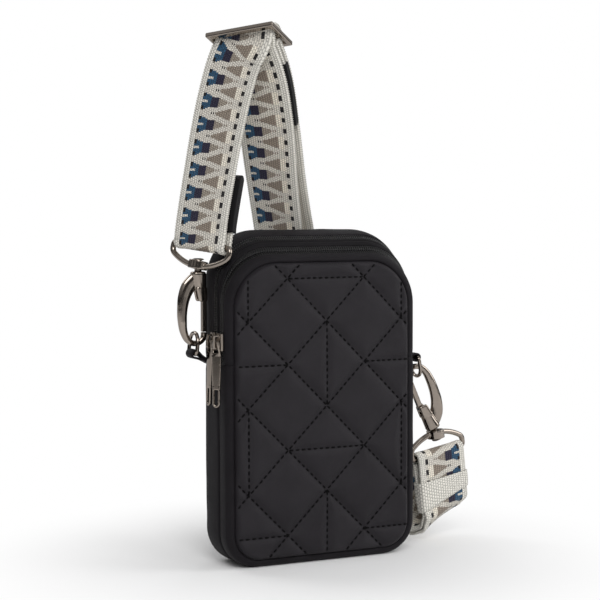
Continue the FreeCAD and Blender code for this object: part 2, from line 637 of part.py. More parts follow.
def make_eye(side):
    name = side.capitalize() + "Eye"
    half = size["strap_wide"] / 2 + size["eye_play"] + size["eye_wire"] / 2
    bar = size["eye_bar_height"]
    middle = size["collar_play"] + size["collar_high"] / 2
    bowl = size["eye_bowl_radius"]
    corner = size["eye_low_radius"]
    round_corner, round_bowl = corner * ROUND_SHARE, bowl * ROUND_SHARE
    bowl_centre = middle + bowl - size["eye_wire"] / 4
    lower = bowl_centre - math.sqrt((bowl - corner) ** 2 - (half - corner) ** 2)
    slope = math.atan2(half - corner, bowl_centre - lower)
    reach = bowl * math.tan(slope / 2)
    meet_z = bowl_centre - bowl
    knee = corner * math.tan((math.pi / 2 - slope) / 2)
    ring = rod(name, [(0, bar), (half, bar), (half, lower - knee), (reach, meet_z), (-reach, meet_z),
                      (-half, lower - knee), (-half, bar)],
               [0, size["eye_top_radius"], round_corner, round_bowl, round_bowl, round_corner,
                size["eye_top_radius"]], cell("eye_wire"), closed=True)
    collar = cylinder(name + "Collar", cell("collar_wide") + " / 2", cell("collar_high"),
                      Vector(0, 0, size["collar_play"]), Z)
    bore = cylinder(name + "Bore", cell("collar_bore_wide") + " / 2",
                    "%s + 2 * %s" % (cell("collar_high"), cell("overrun")),
                    Vector(0, 0, size["collar_play"] - size["overrun"]), Z)
    solid = cut(name + "Solid", fuse(name + "Cast", [ring, collar]), [bore])
    node(solid, side + "_swivel_eye", eye_place(side))


# Zip sliders and pulls, on the pouch's left side

def slider_place(part):
    return Vector(-size["body_width"] / 2, -size[part + "_zip_depth"], size["zip_slider_height"])


def pivot_offset():
    """Pull's pivot from the band's face, out along -X."""
    return size["zip_play"] + size["zip_plate"] + (size["bridge_high"] - size["bridge_wire"]) / 2


def make_zip_slider(part):
    name = part.capitalize() + "ZipSlider"
    centre = slider_place(part)
    wide, long = cell("zip_slider_wide"), cell("zip_slider_long")
    play, plate, wall = size["zip_play"], size["zip_plate"], size["wall"]
    outer = block(name + "Outer", cell("zip_plate"), wide, long, centre - X * (play + plate / 2))
    inner = block(name + "Inner", cell("zip_plate"), cell("zip_inner_wide"), long,
                  centre + X * (wall + play + plate / 2))
    web = block(name + "Web", "%s + 2 * %s + 2 * %s" % (cell("wall"), cell("zip_play"), cell("zip_plate")),
                cell("zip_web"), long, centre + X * (wall / 2))
    bridge_centre = centre - X * (play + plate + size["bridge_high"] / 2)
    bridge_long = "%s * %s" % (BRIDGE_LONG_SHARE, long)
    bridge = block(name + "Bridge", cell("bridge_high"), cell("bridge_wide"), bridge_long, bridge_centre)
    gap = block(name + "Gap", "%s - %s" % (cell("bridge_high"), cell("bridge_wire")), wide,
                "%s - 2 * %s" % (bridge_long, cell("bridge_wire")),
                bridge_centre + X * (size["bridge_wire"] / 2))
    arch = cut(name + "Arch", bridge, [gap])
    node(fuse(name + "Whole", [outer, inner, web, arch]), part + "_zip_slider")


def make_zip_pull(part):
    """Flat tapering pull with a slot near its end, hanging by a round bar from the slider's bridge."""
    name = part.capitalize() + "ZipPull"
    half, tip = size["pull_wide"] / 2, size["pull_tip_wide"] / 2
    top_half, tip_end = half * PULL_TOP_SHARE, tip * PULL_TIP_SHARE
    thick, long = size["pull_thick"], size["pull_long"]
    window, window_half = size["pull_window_long"], size["pull_window_wide"] / 2
    slot_half, slot_long = size["pull_slot_wide"] / 2, size["pull_slot_long"]
    slot_top = slot_half * PULL_TIP_SHARE
    body = doc.addObject("PartDesign::Body", name)
    plane = [item for item in body.Origin.OriginFeatures if item.Role == "YZ_Plane"][0]

    def polygon_sketch(label, points):
        sketch = body.newObject("Sketcher::SketchObject", label)
        sketch.AttachmentSupport = [(plane, "")]
        sketch.MapMode = "FlatFace"
        corners = [Vector(y, z, 0) for y, z in points]
        for index, corner in enumerate(corners):
            sketch.addGeometry(Part.LineSegment(corner, corners[(index + 1) % len(corners)]), False)
        return sketch

    blank = body.newObject("PartDesign::Pad", name + "Blank")
    blank.Profile = polygon_sketch(name + "Outline", [
        (-top_half, 0), (top_half, 0), (half, -window), (half, -window - thick),
        (tip, -long + thick), (tip_end, -long), (-tip_end, -long), (-tip, -long + thick),
        (-half, -window - thick), (-half, -window)])
    blank.setExpression("Length", cell("pull_thick"))
    blank.Midplane = True
    doc.recompute()
    slot_low = -long + size["pull_end_margin"]
    for label, points in (
            ("Window", [(-window_half, thick), (window_half, thick),
                        (window_half, -window), (-window_half, -window)]),
            ("Slot", [(-slot_half, slot_low), (slot_half, slot_low),
                      (slot_top, slot_low + slot_long), (-slot_top, slot_low + slot_long)])):
        before = body.Shape.Volume
        hole = body.newObject("PartDesign::Pocket", name + label)
        hole.Profile = polygon_sketch(name + label + "Outline", points)
        hole.Type = "ThroughAll"
        hole.Midplane = True
        doc.recompute()
        if body.Shape.Volume >= before:
            raise RuntimeError(label + " cuts nothing from " + name)
    bar = cylinder(name + "Bar", cell("pull_thick") + " / 2",
                   "%s * %s" % (PULL_TOP_SHARE, cell("pull_wide")), Y * -top_half, Y)
    place = slider_place(part) - X * pivot_offset()
    node(fuse(name + "Whole", [body, bar]), part + "_zip_pull", Placement(place, Rotation()))


# Strap slider: local X across the strap, local Y along it to the back, local Z up

def frame_place():
    rotation = Rotation(Z, size["frame_turn"]).multiply(Rotation(X, -size["frame_dip"]))
    return Placement(Vector(size["frame_x"], size["frame_y"], size["frame_z"]), rotation)


def make_strap_slider():
    body = doc.addObject("PartDesign::Body", "StrapSlider")
    plane = [item for item in body.Origin.OriginFeatures if item.Role == "XY_Plane"][0]
    long, wide, bar = size["frame_long"], size["frame_wide"], size["frame_bar"]
    slot_half = size["strap_wide"] / 2 + size["eye_play"]
    slot_wide = (wide - 3 * bar) / 2

    def rectangle(label, x_half, y_from, y_to):
        sketch = body.newObject("Sketcher::SketchObject", label)
        sketch.AttachmentSupport = [(plane, "")]
        sketch.MapMode = "FlatFace"
        corners = [Vector(-x_half, y_from, 0), Vector(x_half, y_from, 0),
                   Vector(x_half, y_to, 0), Vector(-x_half, y_to, 0)]
        for index, corner in enumerate(corners):
            sketch.addGeometry(Part.LineSegment(corner, corners[(index + 1) % 4]), False)
        return sketch

    pad = body.newObject("PartDesign::Pad", "StrapSliderPlate")
    pad.Profile = rectangle("StrapSliderOutline", long / 2, -bar / 2, wide - bar / 2)
    pad.setExpression("Length", cell("frame_thick"))
    pad.Midplane = True
    doc.recompute()
    for index, start in enumerate((bar / 2, bar * 1.5 + slot_wide)):
        before = body.Shape.Volume
        slot = body.newObject("PartDesign::Pocket", "StrapSliderSlot%d" % index)
        slot.Profile = rectangle("StrapSliderSlotOutline%d" % index, slot_half, start, start + slot_wide)
        slot.Type = "ThroughAll"
        slot.Midplane = True
        doc.recompute()
        if body.Shape.Volume >= before:
            raise RuntimeError("a slot cuts nothing from the strap slider")
    tip = body.Tip
    round_edge = body.newObject("PartDesign::Fillet", "StrapSliderRound")
    faces = [index for index, face in enumerate(tip.Shape.Faces, start=1)
             if face.normalAt(0, 0).cross(Z).Length < size["frame_round"] / size["frame_long"]]
    round_edge.Base = (tip, ["Face%d" % index for index in faces])
    round_edge.setExpression("Radius", cell("frame_round"))
    node(body, "strap_slider", frame_place())


# Strap: a flat strip whose cross sections follow one route

def section(centre, across, normal, wide, thick):
    """Rectangle of a strip, as its four corners in order."""
    a, n = across * (wide / 2), normal * (thick / 2)
    return [centre - a - n, centre + a - n, centre + a + n, centre - a + n]


def strip(rings):
    """Closed solid ruled through rectangles."""
    wires = [Part.makePolygon(ring + ring[:1]) for ring in rings]
    solid = Part.makeLoft(wires, True, True)
    if solid.Volume < 0:
        solid.reverse()
    return solid


def square_to(across, along):
    across = across - along * across.dot(along)
    return across.normalize()


def smooth_line(points, known, steps):
    """Points of a smooth line through the given ones, along the headings that are known."""
    last = len(points) - 1
    chords = [(after - before).Length for before, after in zip(points, points[1:])]
    slopes = []
    for index in range(last + 1):
        if known[index] is not None:
            slopes.append(known[index])
            continue
        if index in (0, last):
            near = min(index, last - 1)
            slopes.append((points[near + 1] - points[near]) * (1 / chords[near]))
            continue
        before = (points[index] - points[index - 1]) * (1 / chords[index - 1])
        after = (points[index + 1] - points[index]) * (1 / chords[index])
        both = chords[index - 1] + chords[index]
        slopes.append(before * (chords[index] / both) + after * (chords[index - 1] / both))
    line = []
    for index in range(last):
        for step in range(steps):
            t = step / steps
            line.append(points[index] * (2 * t ** 3 - 3 * t ** 2 + 1)
                        + points[index + 1] * (3 * t ** 2 - 2 * t ** 3)
                        + slopes[index] * (chords[index] * (t ** 3 - 2 * t ** 2 + t))
                        + slopes[index + 1] * (chords[index] * (t ** 3 - t ** 2)))
    line.append(points[last])
    return line


def ribbon_frames(stations):
    """Point, width, normal, half spacing and heading along a strip through stations.

    A station holds its point, the direction of the strip's dashed edge or None, half the spacing
    and the heading or None.
    """
    line = smooth_line([place[0] for place in stations], [place[3] for place in stations], RIBBON_STEPS)
    last = len(line) - 1
    headings = []
    for index in range(last + 1):
        known = stations[index // RIBBON_STEPS][3] if index % RIBBON_STEPS == 0 else None
        headings.append(known or (line[min(index + 1, last)] - line[max(index - 1, 0)]).normalize())
    across = [square_to(stations[0][1], headings[0])]
    for index in range(1, last + 1):
        across.append(square_to(across[-1], headings[index]))
    lengths = [0.0]
    for before, after in zip(line, line[1:]):
        lengths.append(lengths[-1] + (after - before).Length)
    turns = [(0.0, 0.0)]
    for station, (point, facing, spread, heading) in enumerate(stations):
        index = station * RIBBON_STEPS
        if facing is None or station == 0:
            continue
        wanted = square_to(facing, headings[index])
        angle = math.atan2(headings[index].dot(across[index].cross(wanted)), across[index].dot(wanted))
        while angle - turns[-1][1] > math.pi:
            angle -= 2 * math.pi
        while angle - turns[-1][1] < -math.pi:
            angle += 2 * math.pi
        turns.append((lengths[index], angle))
    frames = []
    for index, point in enumerate(line):
        later = next((n for n, (at, angle) in enumerate(turns) if at >= lengths[index]), len(turns) - 1)
        (start, angle0), (end, angle1) = turns[max(later - 1, 0)], turns[later]
        way = 0.0 if end == start else (lengths[index] - start) / (end - start)
        angle = angle0 + (angle1 - angle0) * way * way * (3 - 2 * way)
        width = Rotation(headings[index], math.degrees(angle)).multVec(across[index])
        station = min(index // RIBBON_STEPS, len(stations) - 2)
        part_way = index / RIBBON_STEPS - station
        spread = stations[station][2] * (1 - part_way) + stations[station + 1][2] * part_way
        frames.append((point, width, headings[index].cross(width).normalize(), spread, headings[index]))
    return frames


def trimmed(places, length):
    """Places along a strip up to a length, the last one part of the way to the next."""
    kept, travelled = [places[0]], 0.0
    for before, after in zip(places, places[1:]):
        step = (after[0] - before[0]).Length
        if travelled + step >= length:
            share = (length - travelled) / step
            kept.append(tuple(a * (1 - share) + b * share for a, b in zip(before[:3], after[:3])))
            break
        kept.append(after[:3])
        travelled += step
    return kept


def bar_loop():
    """Middle of the webbing from the middle of an eye's bar that it goes round."""
    return size["eye_wire"] / 2 + size["strap_play"] + size["strap_thick"] / 2


def inner_loop():
    """Middle of the sewn end from the middle of the slider's centre bar."""
    return size["frame_bar"] / 2 + size["strap_play"] + size["strap_thick"] / 2


def outer_loop():
    """Middle of the running strap from the middle of the slider's centre bar."""
    return inner_loop() + size["strap_thick"] + size["strap_play"]


def centre_bar():
    return frame_place().multVec(Vector(0, (size["frame_wide"] - size["frame_bar"]) / 2, 0))


def bend(centre, across, outward, up, radius, steps):
    """Half turn round a bar, from its outward side over its upper side."""
    places = []
    for step in range(steps + 1):
        angle = math.pi * step / steps
        radial = outward * math.cos(angle) + up * math.sin(angle)
        places.append((centre + radial * radius, across, radial))
    return places


def left_frames():
    """Front layer of the left run, from the left eye's bar up to the strap slider."""
    eye, frame = eye_place("left"), frame_place()
    across, across_top = eye.Rotation.multVec(X), frame.Rotation.multVec(X)
    bar = eye.multVec(Z * size["eye_bar_height"])
    slot = centre_bar() - frame.Rotation.multVec(Vector(0, outer_loop(), size["frame_thick"]))
    way = slot - bar
    aside = square_to(across * -1, way * (1 / way.Length))
    first_share, first_bow = LEFT_SHARES[0]
    heading = square_to(way * first_share + aside * (way.Length * first_bow), across)
    start = bar + across.cross(heading) * bar_loop()
    stations = [(start, across, 0, heading)]
    stations += [(start + (slot - start) * share + aside * (way.Length * bow), None, 0, None)
                 for share, bow in LEFT_SHARES]
    stations += [(slot, across_top, 0, frame.Rotation.multVec(Z))]
    return ribbon_frames(stations)


def left_places():
    """Left run: from the end of its flap, round the left eye's bar, up to the strap slider."""
    bar = eye_place("left").multVec(Z * size["eye_bar_height"])
    frames = left_frames()
    point, width, normal, spread, heading = frames[0]
    flap = [(place[0] + place[2] * (2 * bar_loop()), place[1], place[2]) for place in frames]
    places = list(reversed(trimmed(flap, size["left_flap_long"])))
    places += bend(bar, width, normal, heading * -1, bar_loop(), LOOP_STEPS)[1:]
    places += [(place[0], place[1], place[2] * -1) for place in frames[1:]]
    return places


def fold_stations():
    """Fold of the doubled strap below the right eye: a slanting half turn towards the back."""
    eye = eye_place("right")
    bar = eye.multVec(Z * size["eye_bar_height"])
    across = eye.Rotation.multVec(X) * -1
    down = eye.Rotation.multVec(Z)
    slant = math.radians(size["fold_slant"])
    radius = size["fold_radius"]
    axis = across * math.cos(slant) - down * math.sin(slant)
    round_way = across * math.sin(slant) + down * math.cos(slant)
    back = across.cross(down)
    stations = []
    for step in range(FOLD_STATIONS + 1):
        turn = math.pi * step / FOLD_STATIONS
        point = bar + down * size["fold_drop"] + back * (radius * (1 - math.cos(turn)))
        point = point + round_way * (radius * math.sin(turn)) - axis * (radius * turn * math.tan(slant))
        tangent = round_way * math.cos(turn) + back * math.sin(turn)
        facing = axis * math.cos(slant) + tangent * math.sin(slant)
        heading = axis * math.sin(slant) - tangent * math.cos(slant)
        stations.append((point, facing * -1, CLOSE_SPREAD_SHARE * size["strap_thick"], heading))
    return list(reversed(stations))


def pair_frames():
    """Frames of the doubled strap from the slider's middle to the right eye's bar."""
    frame, eye = frame_place(), eye_place("right")
    thick, half_wide = size["strap_thick"], size["strap_wide"] / 2
    back_face = size["back_seam_depth"] + size["back_thick"]
    across_top = frame.Rotation.multVec(X)
    spread_top = (inner_loop() + outer_loop()) / 2
    shift = Vector(0, (outer_loop() - inner_loop()) / 2, -size["pair_drop"])
    top = centre_bar() + frame.Rotation.multVec(shift)
    gap = CREST_GAP_SHARE * size["strap_wide"]
    crest = Vector(size["rear_run_x"], back_face + gap, size["rear_height"])
    way = crest - top
    stations = [(top, across_top, spread_top, None)]
    for share, bow, spread in UPPER_SHARES:
        stations.append((top + way * share + X * (way.Length * bow), None, spread * thick, None))
    stations.append((crest, eye_place("left").Rotation.multVec(X), CREST_SPREAD_SHARE * thick, None))
    fold = fold_stations()
    far = fold[0][0]
    for across_share, down_share, off in LOWER_SHARES:
        stations.append((Vector(crest.x + (far.x - crest.x) * across_share, back_face + half_wide * off,
                                crest.z + (far.z - crest.z) * down_share), None,
                         CLOSE_SPREAD_SHARE * thick, None))
    stations += fold
    stations.append((eye.multVec(Z * size["eye_bar_height"]), eye.Rotation.multVec(X), bar_loop(),
                     eye.Rotation.multVec(Z * -1)))
    return ribbon_frames(stations)


def rear_places():
    """Over the slider's centre bar, then down behind as the rear run, up to the right eye's bar."""
    frame = frame_place()
    across, back, up = [frame.Rotation.multVec(axis) for axis in (X, Y, Z)]
    places = [left_places()[-1]]
    places += bend(centre_bar(), across, back * -1, up, outer_loop(), LOOP_STEPS)
    for point, width, normal, spread, heading in pair_frames()[1:-1]:
        places.append((point - normal * spread, width, normal * -1))
    return places


def return_places():
    """Round the right eye's bar, back up as the return run, round the centre bar, to its sewn end."""
    frame, frames = frame_place(), pair_frames()
    point, width, normal, spread, heading = frames[-1]
    places = [rear_places()[-1]]
    places += bend(point, width, normal * -1, heading, spread, LOOP_STEPS)
    for point, width, normal, spread, heading in reversed(frames[1:-1]):
        places.append((point + normal * spread, width, normal))
    across, back, up = [frame.Rotation.multVec(axis) for axis in (X, Y, Z)]
    places += bend(centre_bar(), across, back * -1, up, inner_loop(), LOOP_STEPS)
    flap = [(place[0], place[1], place[2] * -1) for place in frames[1:]]
    return places + trimmed(flap, size["slider_flap_long"])


def strap_solid(places):
    return strip([section(centre, across, normal, size["strap_wide"], size["strap_thick"])
                  for centre, across, normal in places])


def solid_node(label, shape):
    item = doc.addObject("Part::Feature", "Shape_" + label)
    item.Shape = shape
    return node(item, label, Placement())


def cover(label, places, strap_piece):
    """Black sleeve over a cut end of the strap; the places run from the cut end inwards."""
    thick = size["strap_thick"] + 2 * size["cover_thick"]
    wide = size["strap_wide"] + 2 * size["cover_thick"]
    (end, across, normal), inner = places[0], places[1][0]
    past = (end + (end - inner).normalize() * size["cover_past"], across, normal)
    rings = [section(centre, width, face, wide, thick)
             for centre, width, face in trimmed([past] + places, size["cover_long"])]
    return solid_node(label, strip(rings).cut(strap_piece))


def make_strap():
    left, rear, back = left_places(), rear_places(), return_places()
    left_solid = strap_solid(left)
    solid_node("strap_left_run", left_solid)
    solid_node("strap_rear_run", strap_solid(rear))
    return_solid = strap_solid(back)
    solid_node("strap_return_run", return_solid)
    cover("left_end_cover", left, left_solid)
    cover("slider_end_cover", list(reversed(back)), return_solid)


def make_keeper():
    """Webbing loop round both layers, below the right eye, its lower end slanting with the fold."""
    eye = eye_place("right")
    frames = list(reversed(pair_frames()))[:RIBBON_STEPS + 1]
    bar, low = frames[0], frames[-1]
    inner, outer = [], []
    slant = math.tan(math.radians(size["fold_slant"]))
    for drop, lean in ((size["keeper_start"], 0), (size["keeper_start"] + size["keeper_long"], slant)):
        share = drop / size["fold_drop"]
        centre = bar[0] * (1 - share) + low[0] * share
        spread = bar[3] * (1 - share) + low[3] * share
        across = eye.Rotation.multVec(X) + eye.Rotation.multVec(Z) * lean
        normal = eye.Rotation.multVec(Y)
        thick = 2 * spread + size["strap_thick"] + 2 * size["keeper_play"]
        wide = size["strap_wide"] + 2 * size["keeper_play"]
        inner.append(section(centre, across, normal, wide, thick))
        outer.append(section(centre, across, normal, wide + 2 * size["keeper_thick"],
                             thick + 2 * size["keeper_thick"]))
    solid_node("strap_keeper", strip(outer).cut(strip(inner)))


rear_outer = make_pouch()
for side in ("left", "right"):
    make_tab(side, rear_outer)
    make_ring(side)
    make_hook(side)
    make_gate(side)
    make_eye(side)
for part in ("front", "rear"):
    make_zip_slider(part)
    make_zip_pull(part)
make_strap_slider()
make_strap()
make_keeper()

doc.recompute()
for item in doc.Objects:
    if "Invalid" in item.State or "Error" in item.State:
        raise RuntimeError("failed object: %s %s" % (item.Label, item.State))
for item in nodes:
    if item.Shape.isNull() or not item.Shape.isValid() or not item.Shape.Solids:
        raise RuntimeError("bad shape: " + item.Label)

os.makedirs("parts", exist_ok=True)
for item in nodes:
    item.Shape.exportStep("parts/%s.step" % item.Label)
print("nodes", len(nodes))
for item in nodes:
    box = item.Shape.BoundBox
    print("%-22s solids %d volume %9.1f  x %7.1f %7.1f  y %7.1f %7.1f  z %7.1f %7.1f" % (
        item.Label, len(item.Shape.Solids), item.Shape.Volume,
        box.XMin, box.XMax, box.YMin, box.YMax, box.ZMin, box.ZMax))
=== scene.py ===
import json
import math

import bmesh
import bpy
from mathutils import Matrix, Quaternion, Vector, noise


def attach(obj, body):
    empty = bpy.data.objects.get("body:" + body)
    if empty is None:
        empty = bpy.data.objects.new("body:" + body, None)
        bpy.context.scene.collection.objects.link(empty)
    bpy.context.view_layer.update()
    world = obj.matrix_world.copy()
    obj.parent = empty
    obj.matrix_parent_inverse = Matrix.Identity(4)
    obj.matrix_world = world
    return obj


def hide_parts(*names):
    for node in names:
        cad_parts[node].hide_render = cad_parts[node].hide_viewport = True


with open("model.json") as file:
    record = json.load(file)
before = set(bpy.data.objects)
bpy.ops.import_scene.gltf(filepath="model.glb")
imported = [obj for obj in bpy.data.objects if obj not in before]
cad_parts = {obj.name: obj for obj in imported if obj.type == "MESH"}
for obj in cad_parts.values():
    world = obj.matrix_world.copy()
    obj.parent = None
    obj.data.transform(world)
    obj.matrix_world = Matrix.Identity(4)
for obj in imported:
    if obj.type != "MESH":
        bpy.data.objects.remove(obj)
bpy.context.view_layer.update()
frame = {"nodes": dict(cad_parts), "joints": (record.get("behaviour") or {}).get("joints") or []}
scene = bpy.context.scene
MM = 0.001
X, Y, Z = Vector((1, 0, 0)), Vector((0, 1, 0)), Vector((0, 0, 1))
JOINTS = {joint["name"]: joint for joint in frame["joints"]}


def joint_place(name):
    """Where a joint of the frame turns, in millimetres."""
    return Vector([value / MM for value in JOINTS[name]["pos_m"]])


# Node helpers

def feed(tree, node, **sockets):
    """Links or sets sockets, named with _ for a space, or in0, in1 ... by their place."""
    for key, value in sockets.items():
        place = int(key[2:]) if key[:2] == "in" and key[2:].isdigit() else key.replace("_", " ")
        if isinstance(value, bpy.types.NodeSocket):
            tree.links.new(value, node.inputs[place])
        else:
            node.inputs[place].default_value = value


def add(tree, kind, props=None, **sockets):
    node = tree.nodes.new(kind)
    for key, value in (props or {}).items():
        setattr(node, key, value)
    feed(tree, node, **sockets)
    return node


def math_node(tree, kind, *values):
    sockets = {"in%d" % place: value for place, value in enumerate(values)}
    return add(tree, "ShaderNodeMath", {"operation": kind}, **sockets).outputs[0]


def mix(tree, factor, first, second, blend="MIX"):
    props = {"data_type": "RGBA", "blend_type": blend}
    return add(tree, "ShaderNodeMix", props, in0=factor, in6=first, in7=second).outputs[2]


def stretch(tree, value, low, high, start=0.0, end=1.0, **props):
    """Value between start and end, stretched to low and high."""
    return add(tree, "ShaderNodeMapRange", props, Value=value, From_Min=start, From_Max=end,
               To_Min=low, To_Max=high).outputs[0]


def colour(red, green, blue):
    return (red, green, blue, 1.0)


def grey(level):
    return colour(level, level, level)


def start_material(name):
    material = bpy.data.materials.new(name)
    material.use_nodes = True
    tree = material.node_tree
    place = tree.nodes.new("ShaderNodeTexCoord").outputs["Object"]
    return material, tree, tree.nodes["Principled BSDF"], place


def spots(tree, place, scale, detail=3.0):
    """Noise whose scale is per metre."""
    return add(tree, "ShaderNodeTexNoise", Vector=place, Scale=scale, Detail=detail, Roughness=0.6).outputs[0]


def weave_height(tree, place, pitch):
    """Height of a plain weave whose yarns are that far apart, in metres."""
    parts = add(tree, "ShaderNodeSeparateXYZ", Vector=place).outputs
    waves = [math_node(tree, "SINE", math_node(tree, "MULTIPLY", part, math.tau / pitch)) for part in parts]
    return math_node(tree, "MULTIPLY", math_node(tree, "ADD", waves[0], waves[1]), waves[2])


def bump(tree, shader, height, distance, strength):
    node = add(tree, "ShaderNodeBump", Height=height, Distance=distance, Strength=strength)
    feed(tree, shader, Normal=node.outputs[0])


# Materials: noise scales are per metre, bump depths in metres
CLOTH_CLOUD, CLOTH_GRAIN, CLOTH_DEPTH = 45.0, 1500.0, 0.00006
METAL_CLOUD, METAL_BRUSH, METAL_DEPTH = 90.0, 2200.0, 0.00001
PLASTIC_CLOUD, PLASTIC_GRAIN, PLASTIC_DEPTH = 220.0, 3000.0, 0.00002
FIBRE_GRAIN = 2600.0


def make_nylon(name, dark, light, rough, pitch, sheen, shine):
    """Matt cloth with a fine weave and slow changes of tone."""
    material, tree, shader, place = start_material(name)
    cloud, grain = spots(tree, place, CLOTH_CLOUD), spots(tree, place, CLOTH_GRAIN, 2.0)
    shade = stretch(tree, math_node(tree, "MULTIPLY_ADD", grain, 0.35, cloud), 0.0, 1.0, 0.45, 0.95)
    feed(tree, shader, Base_Color=mix(tree, shade, dark, light),
         Roughness=stretch(tree, cloud, rough - 0.06, rough + 0.08),
         Sheen_Weight=sheen, Sheen_Roughness=0.45, Specular_IOR_Level=shine)
    height = math_node(tree, "ADD", weave_height(tree, place, pitch), grain)
    bump(tree, shader, height, CLOTH_DEPTH, 0.5)
    return material


def make_gunmetal():
    """Polished dark plating with faint upright brushing."""
    material, tree, shader, place = start_material("gunmetal")
    cloud = spots(tree, place, METAL_CLOUD, 4.0)
    drawn_out = add(tree, "ShaderNodeMapping", Vector=place, Scale=(1.0, 1.0, 0.12)).outputs[0]
    brush = spots(tree, drawn_out, METAL_BRUSH, 2.0)
    tone = mix(tree, cloud, colour(0.250, 0.215, 0.185), colour(0.345, 0.300, 0.260))
    worn = math_node(tree, "MULTIPLY_ADD", brush, 0.07, stretch(tree, cloud, 0.07, 0.15))
    feed(tree, shader, Base_Color=tone, Roughness=worn, Metallic=1.0)
    bump(tree, shader, brush, METAL_DEPTH, 0.25)
    return material


def make_plastic(name, base, rough, shine=0.5):
    """Smooth dark plastic, thread or plain steel with a fine grain."""
    material, tree, shader, place = start_material(name)
    cloud = spots(tree, place, PLASTIC_CLOUD)
    pale = colour(*[channel * 1.7 for channel in base[:3]])
    feed(tree, shader, Base_Color=mix(tree, cloud, base, pale),
         Roughness=stretch(tree, cloud, rough - 0.08, rough + 0.08), Specular_IOR_Level=shine)
    bump(tree, shader, spots(tree, place, PLASTIC_GRAIN, 2.0), PLASTIC_DEPTH, 0.4)
    return material


# Yarn colours of the strap, in the order of their numbers
GROUND, IVORY, BLUE, NAVY, BLACK, TAUPE, PALE_TAUPE, EDGE = range(8)
YARNS = [
    colour(0.700, 0.662, 0.592),
    colour(0.870, 0.805, 0.690),
    colour(0.022, 0.078, 0.150),
    colour(0.020, 0.017, 0.042),
    colour(0.010, 0.009, 0.011),
    colour(0.290, 0.240, 0.194),
    colour(0.330, 0.285, 0.235),
    colour(0.765, 0.740, 0.676),
]


def make_webbing(name, across, along, depth):
    """Woven strap: each face carries the number of the yarn that shows there, and the low places between the
    yarns get painted shade.
    """
    material, tree, shader, place = start_material(name)
    shown = add(tree, "ShaderNodeAttribute", {"attribute_name": "yarn"}).outputs["Fac"]
    ramp = add(tree, "ShaderNodeValToRGB", Fac=math_node(tree, "DIVIDE", shown, float(len(YARNS))))
    ramp.color_ramp.interpolation = "CONSTANT"
    ends = ramp.color_ramp.elements
    ends[0].color = YARNS[0]
    ends[1].position, ends[1].color = 0.5 / len(YARNS), YARNS[1]
    for number, tone in enumerate(YARNS[2:], start=2):
        ends.new((number - 0.5) / len(YARNS)).color = tone
    flat = add(tree, "ShaderNodeUVMap", {"uv_map": "cloth"}).outputs[0]
    side, run = add(tree, "ShaderNodeSeparateXYZ", Vector=flat).outputs[:2]
    column = math_node(tree, "FLOOR", math_node(tree, "DIVIDE", side, across))
    shift = math_node(tree, "MULTIPLY", column, math.pi / 2)
    turns = (math_node(tree, "MULTIPLY", side, math.pi / across),
             math_node(tree, "MULTIPLY_ADD", run, math.pi / along, shift))
    waves = [math_node(tree, "ABSOLUTE", math_node(tree, "SINE", turn)) for turn in turns]
    height = math_node(tree, "MULTIPLY", *waves)
    fibre = spots(tree, place, FIBRE_GRAIN, 2.0)
    # Painted shade: gap darkens the yarn colour where the weave is low, between the yarns, on top of the bump
    # from the same height.
    gap, soft = stretch(tree, height, 0.46, 1.10, 0.0, 0.46), stretch(tree, fibre, 0.86, 1.08, 0.3, 0.7)
    tone = mix(tree, 1.0, ramp.outputs[0], math_node(tree, "MULTIPLY", gap, soft), "MULTIPLY")
    feed(tree, shader, Base_Color=tone, Roughness=stretch(tree, fibre, 0.72, 0.95),
         Sheen_Weight=0.12, Specular_IOR_Level=0.25)
    bump(tree, shader, height, depth, 0.8)
    return material


# Cloths: darkest and lightest tone, roughness, yarn pitch in metres, sheen and shine
CHARCOAL = make_nylon("nylon_panel", colour(0.0136, 0.0118, 0.0144), colour(0.0202, 0.0180, 0.0212),
                      0.50, 0.00042, 0.02, 0.16)
# Painted shade: the band nylon is a darker copy of the panel nylon, so that the pouch's side bands, and the
# tapes and tabs cut from it, look shaded.
BAND_CLOTH = make_nylon("nylon_band", colour(0.0088, 0.0076, 0.0092), colour(0.0142, 0.0126, 0.0149),
                        0.60, 0.00042, 0.01, 0.10)
TAPE_CLOTH = make_nylon("nylon_tape", colour(0.0060, 0.0053, 0.0063), colour(0.0104, 0.0092, 0.0109),
                        0.66, 0.00070, 0.01, 0.10)
LINING = make_nylon("lining", colour(0.0050, 0.0047, 0.0053), colour(0.0090, 0.0085, 0.0095),
                    0.66, 0.00040, 0.01, 0.10)
COVER_CLOTH = make_nylon("end_cover", colour(0.0060, 0.0057, 0.0063), colour(0.0105, 0.0100, 0.0110),
                         0.48, 0.00036, 0.02, 0.16)
THREAD = make_plastic("thread", colour(0.0022, 0.0021, 0.0023), 0.75, 0.08)
COIL = make_plastic("zip_coil", colour(0.0040, 0.0038, 0.0042), 0.36, 0.34)
SPRING = make_plastic("spring_steel", colour(0.30, 0.30, 0.31), 0.30)
GUNMETAL = make_gunmetal()
WEBBING = make_webbing("webbing", 0.00158, 0.00136, 0.00045)
PLAIN_WEBBING = make_webbing("plain_webbing", 0.0019, 0.0017, 0.0005)


# Mesh helpers: points are given in millimetres

def make_piece(name, points, faces, material, body="pouch"):
    mesh = bpy.data.meshes.new(name)
    mesh.from_pydata([Vector(point) * MM for point in points], [], faces)
    mesh.update()
    mesh.polygons.foreach_set("use_smooth", [True] * len(mesh.polygons))
    mesh.materials.append(material)
    piece = bpy.data.objects.new(name, mesh)
    scene.collection.objects.link(piece)
    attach(piece, body)
    return piece


def face_outwards(piece):
    shape = bmesh.new()
    shape.from_mesh(piece.data)
    bmesh.ops.recalc_face_normals(shape, faces=shape.faces)
    shape.to_mesh(piece.data)
    shape.free()


def thicken(piece, thick):
    solid = piece.modifiers.new("thickness", "SOLIDIFY")
    solid.thickness, solid.offset = thick * MM, -1.0


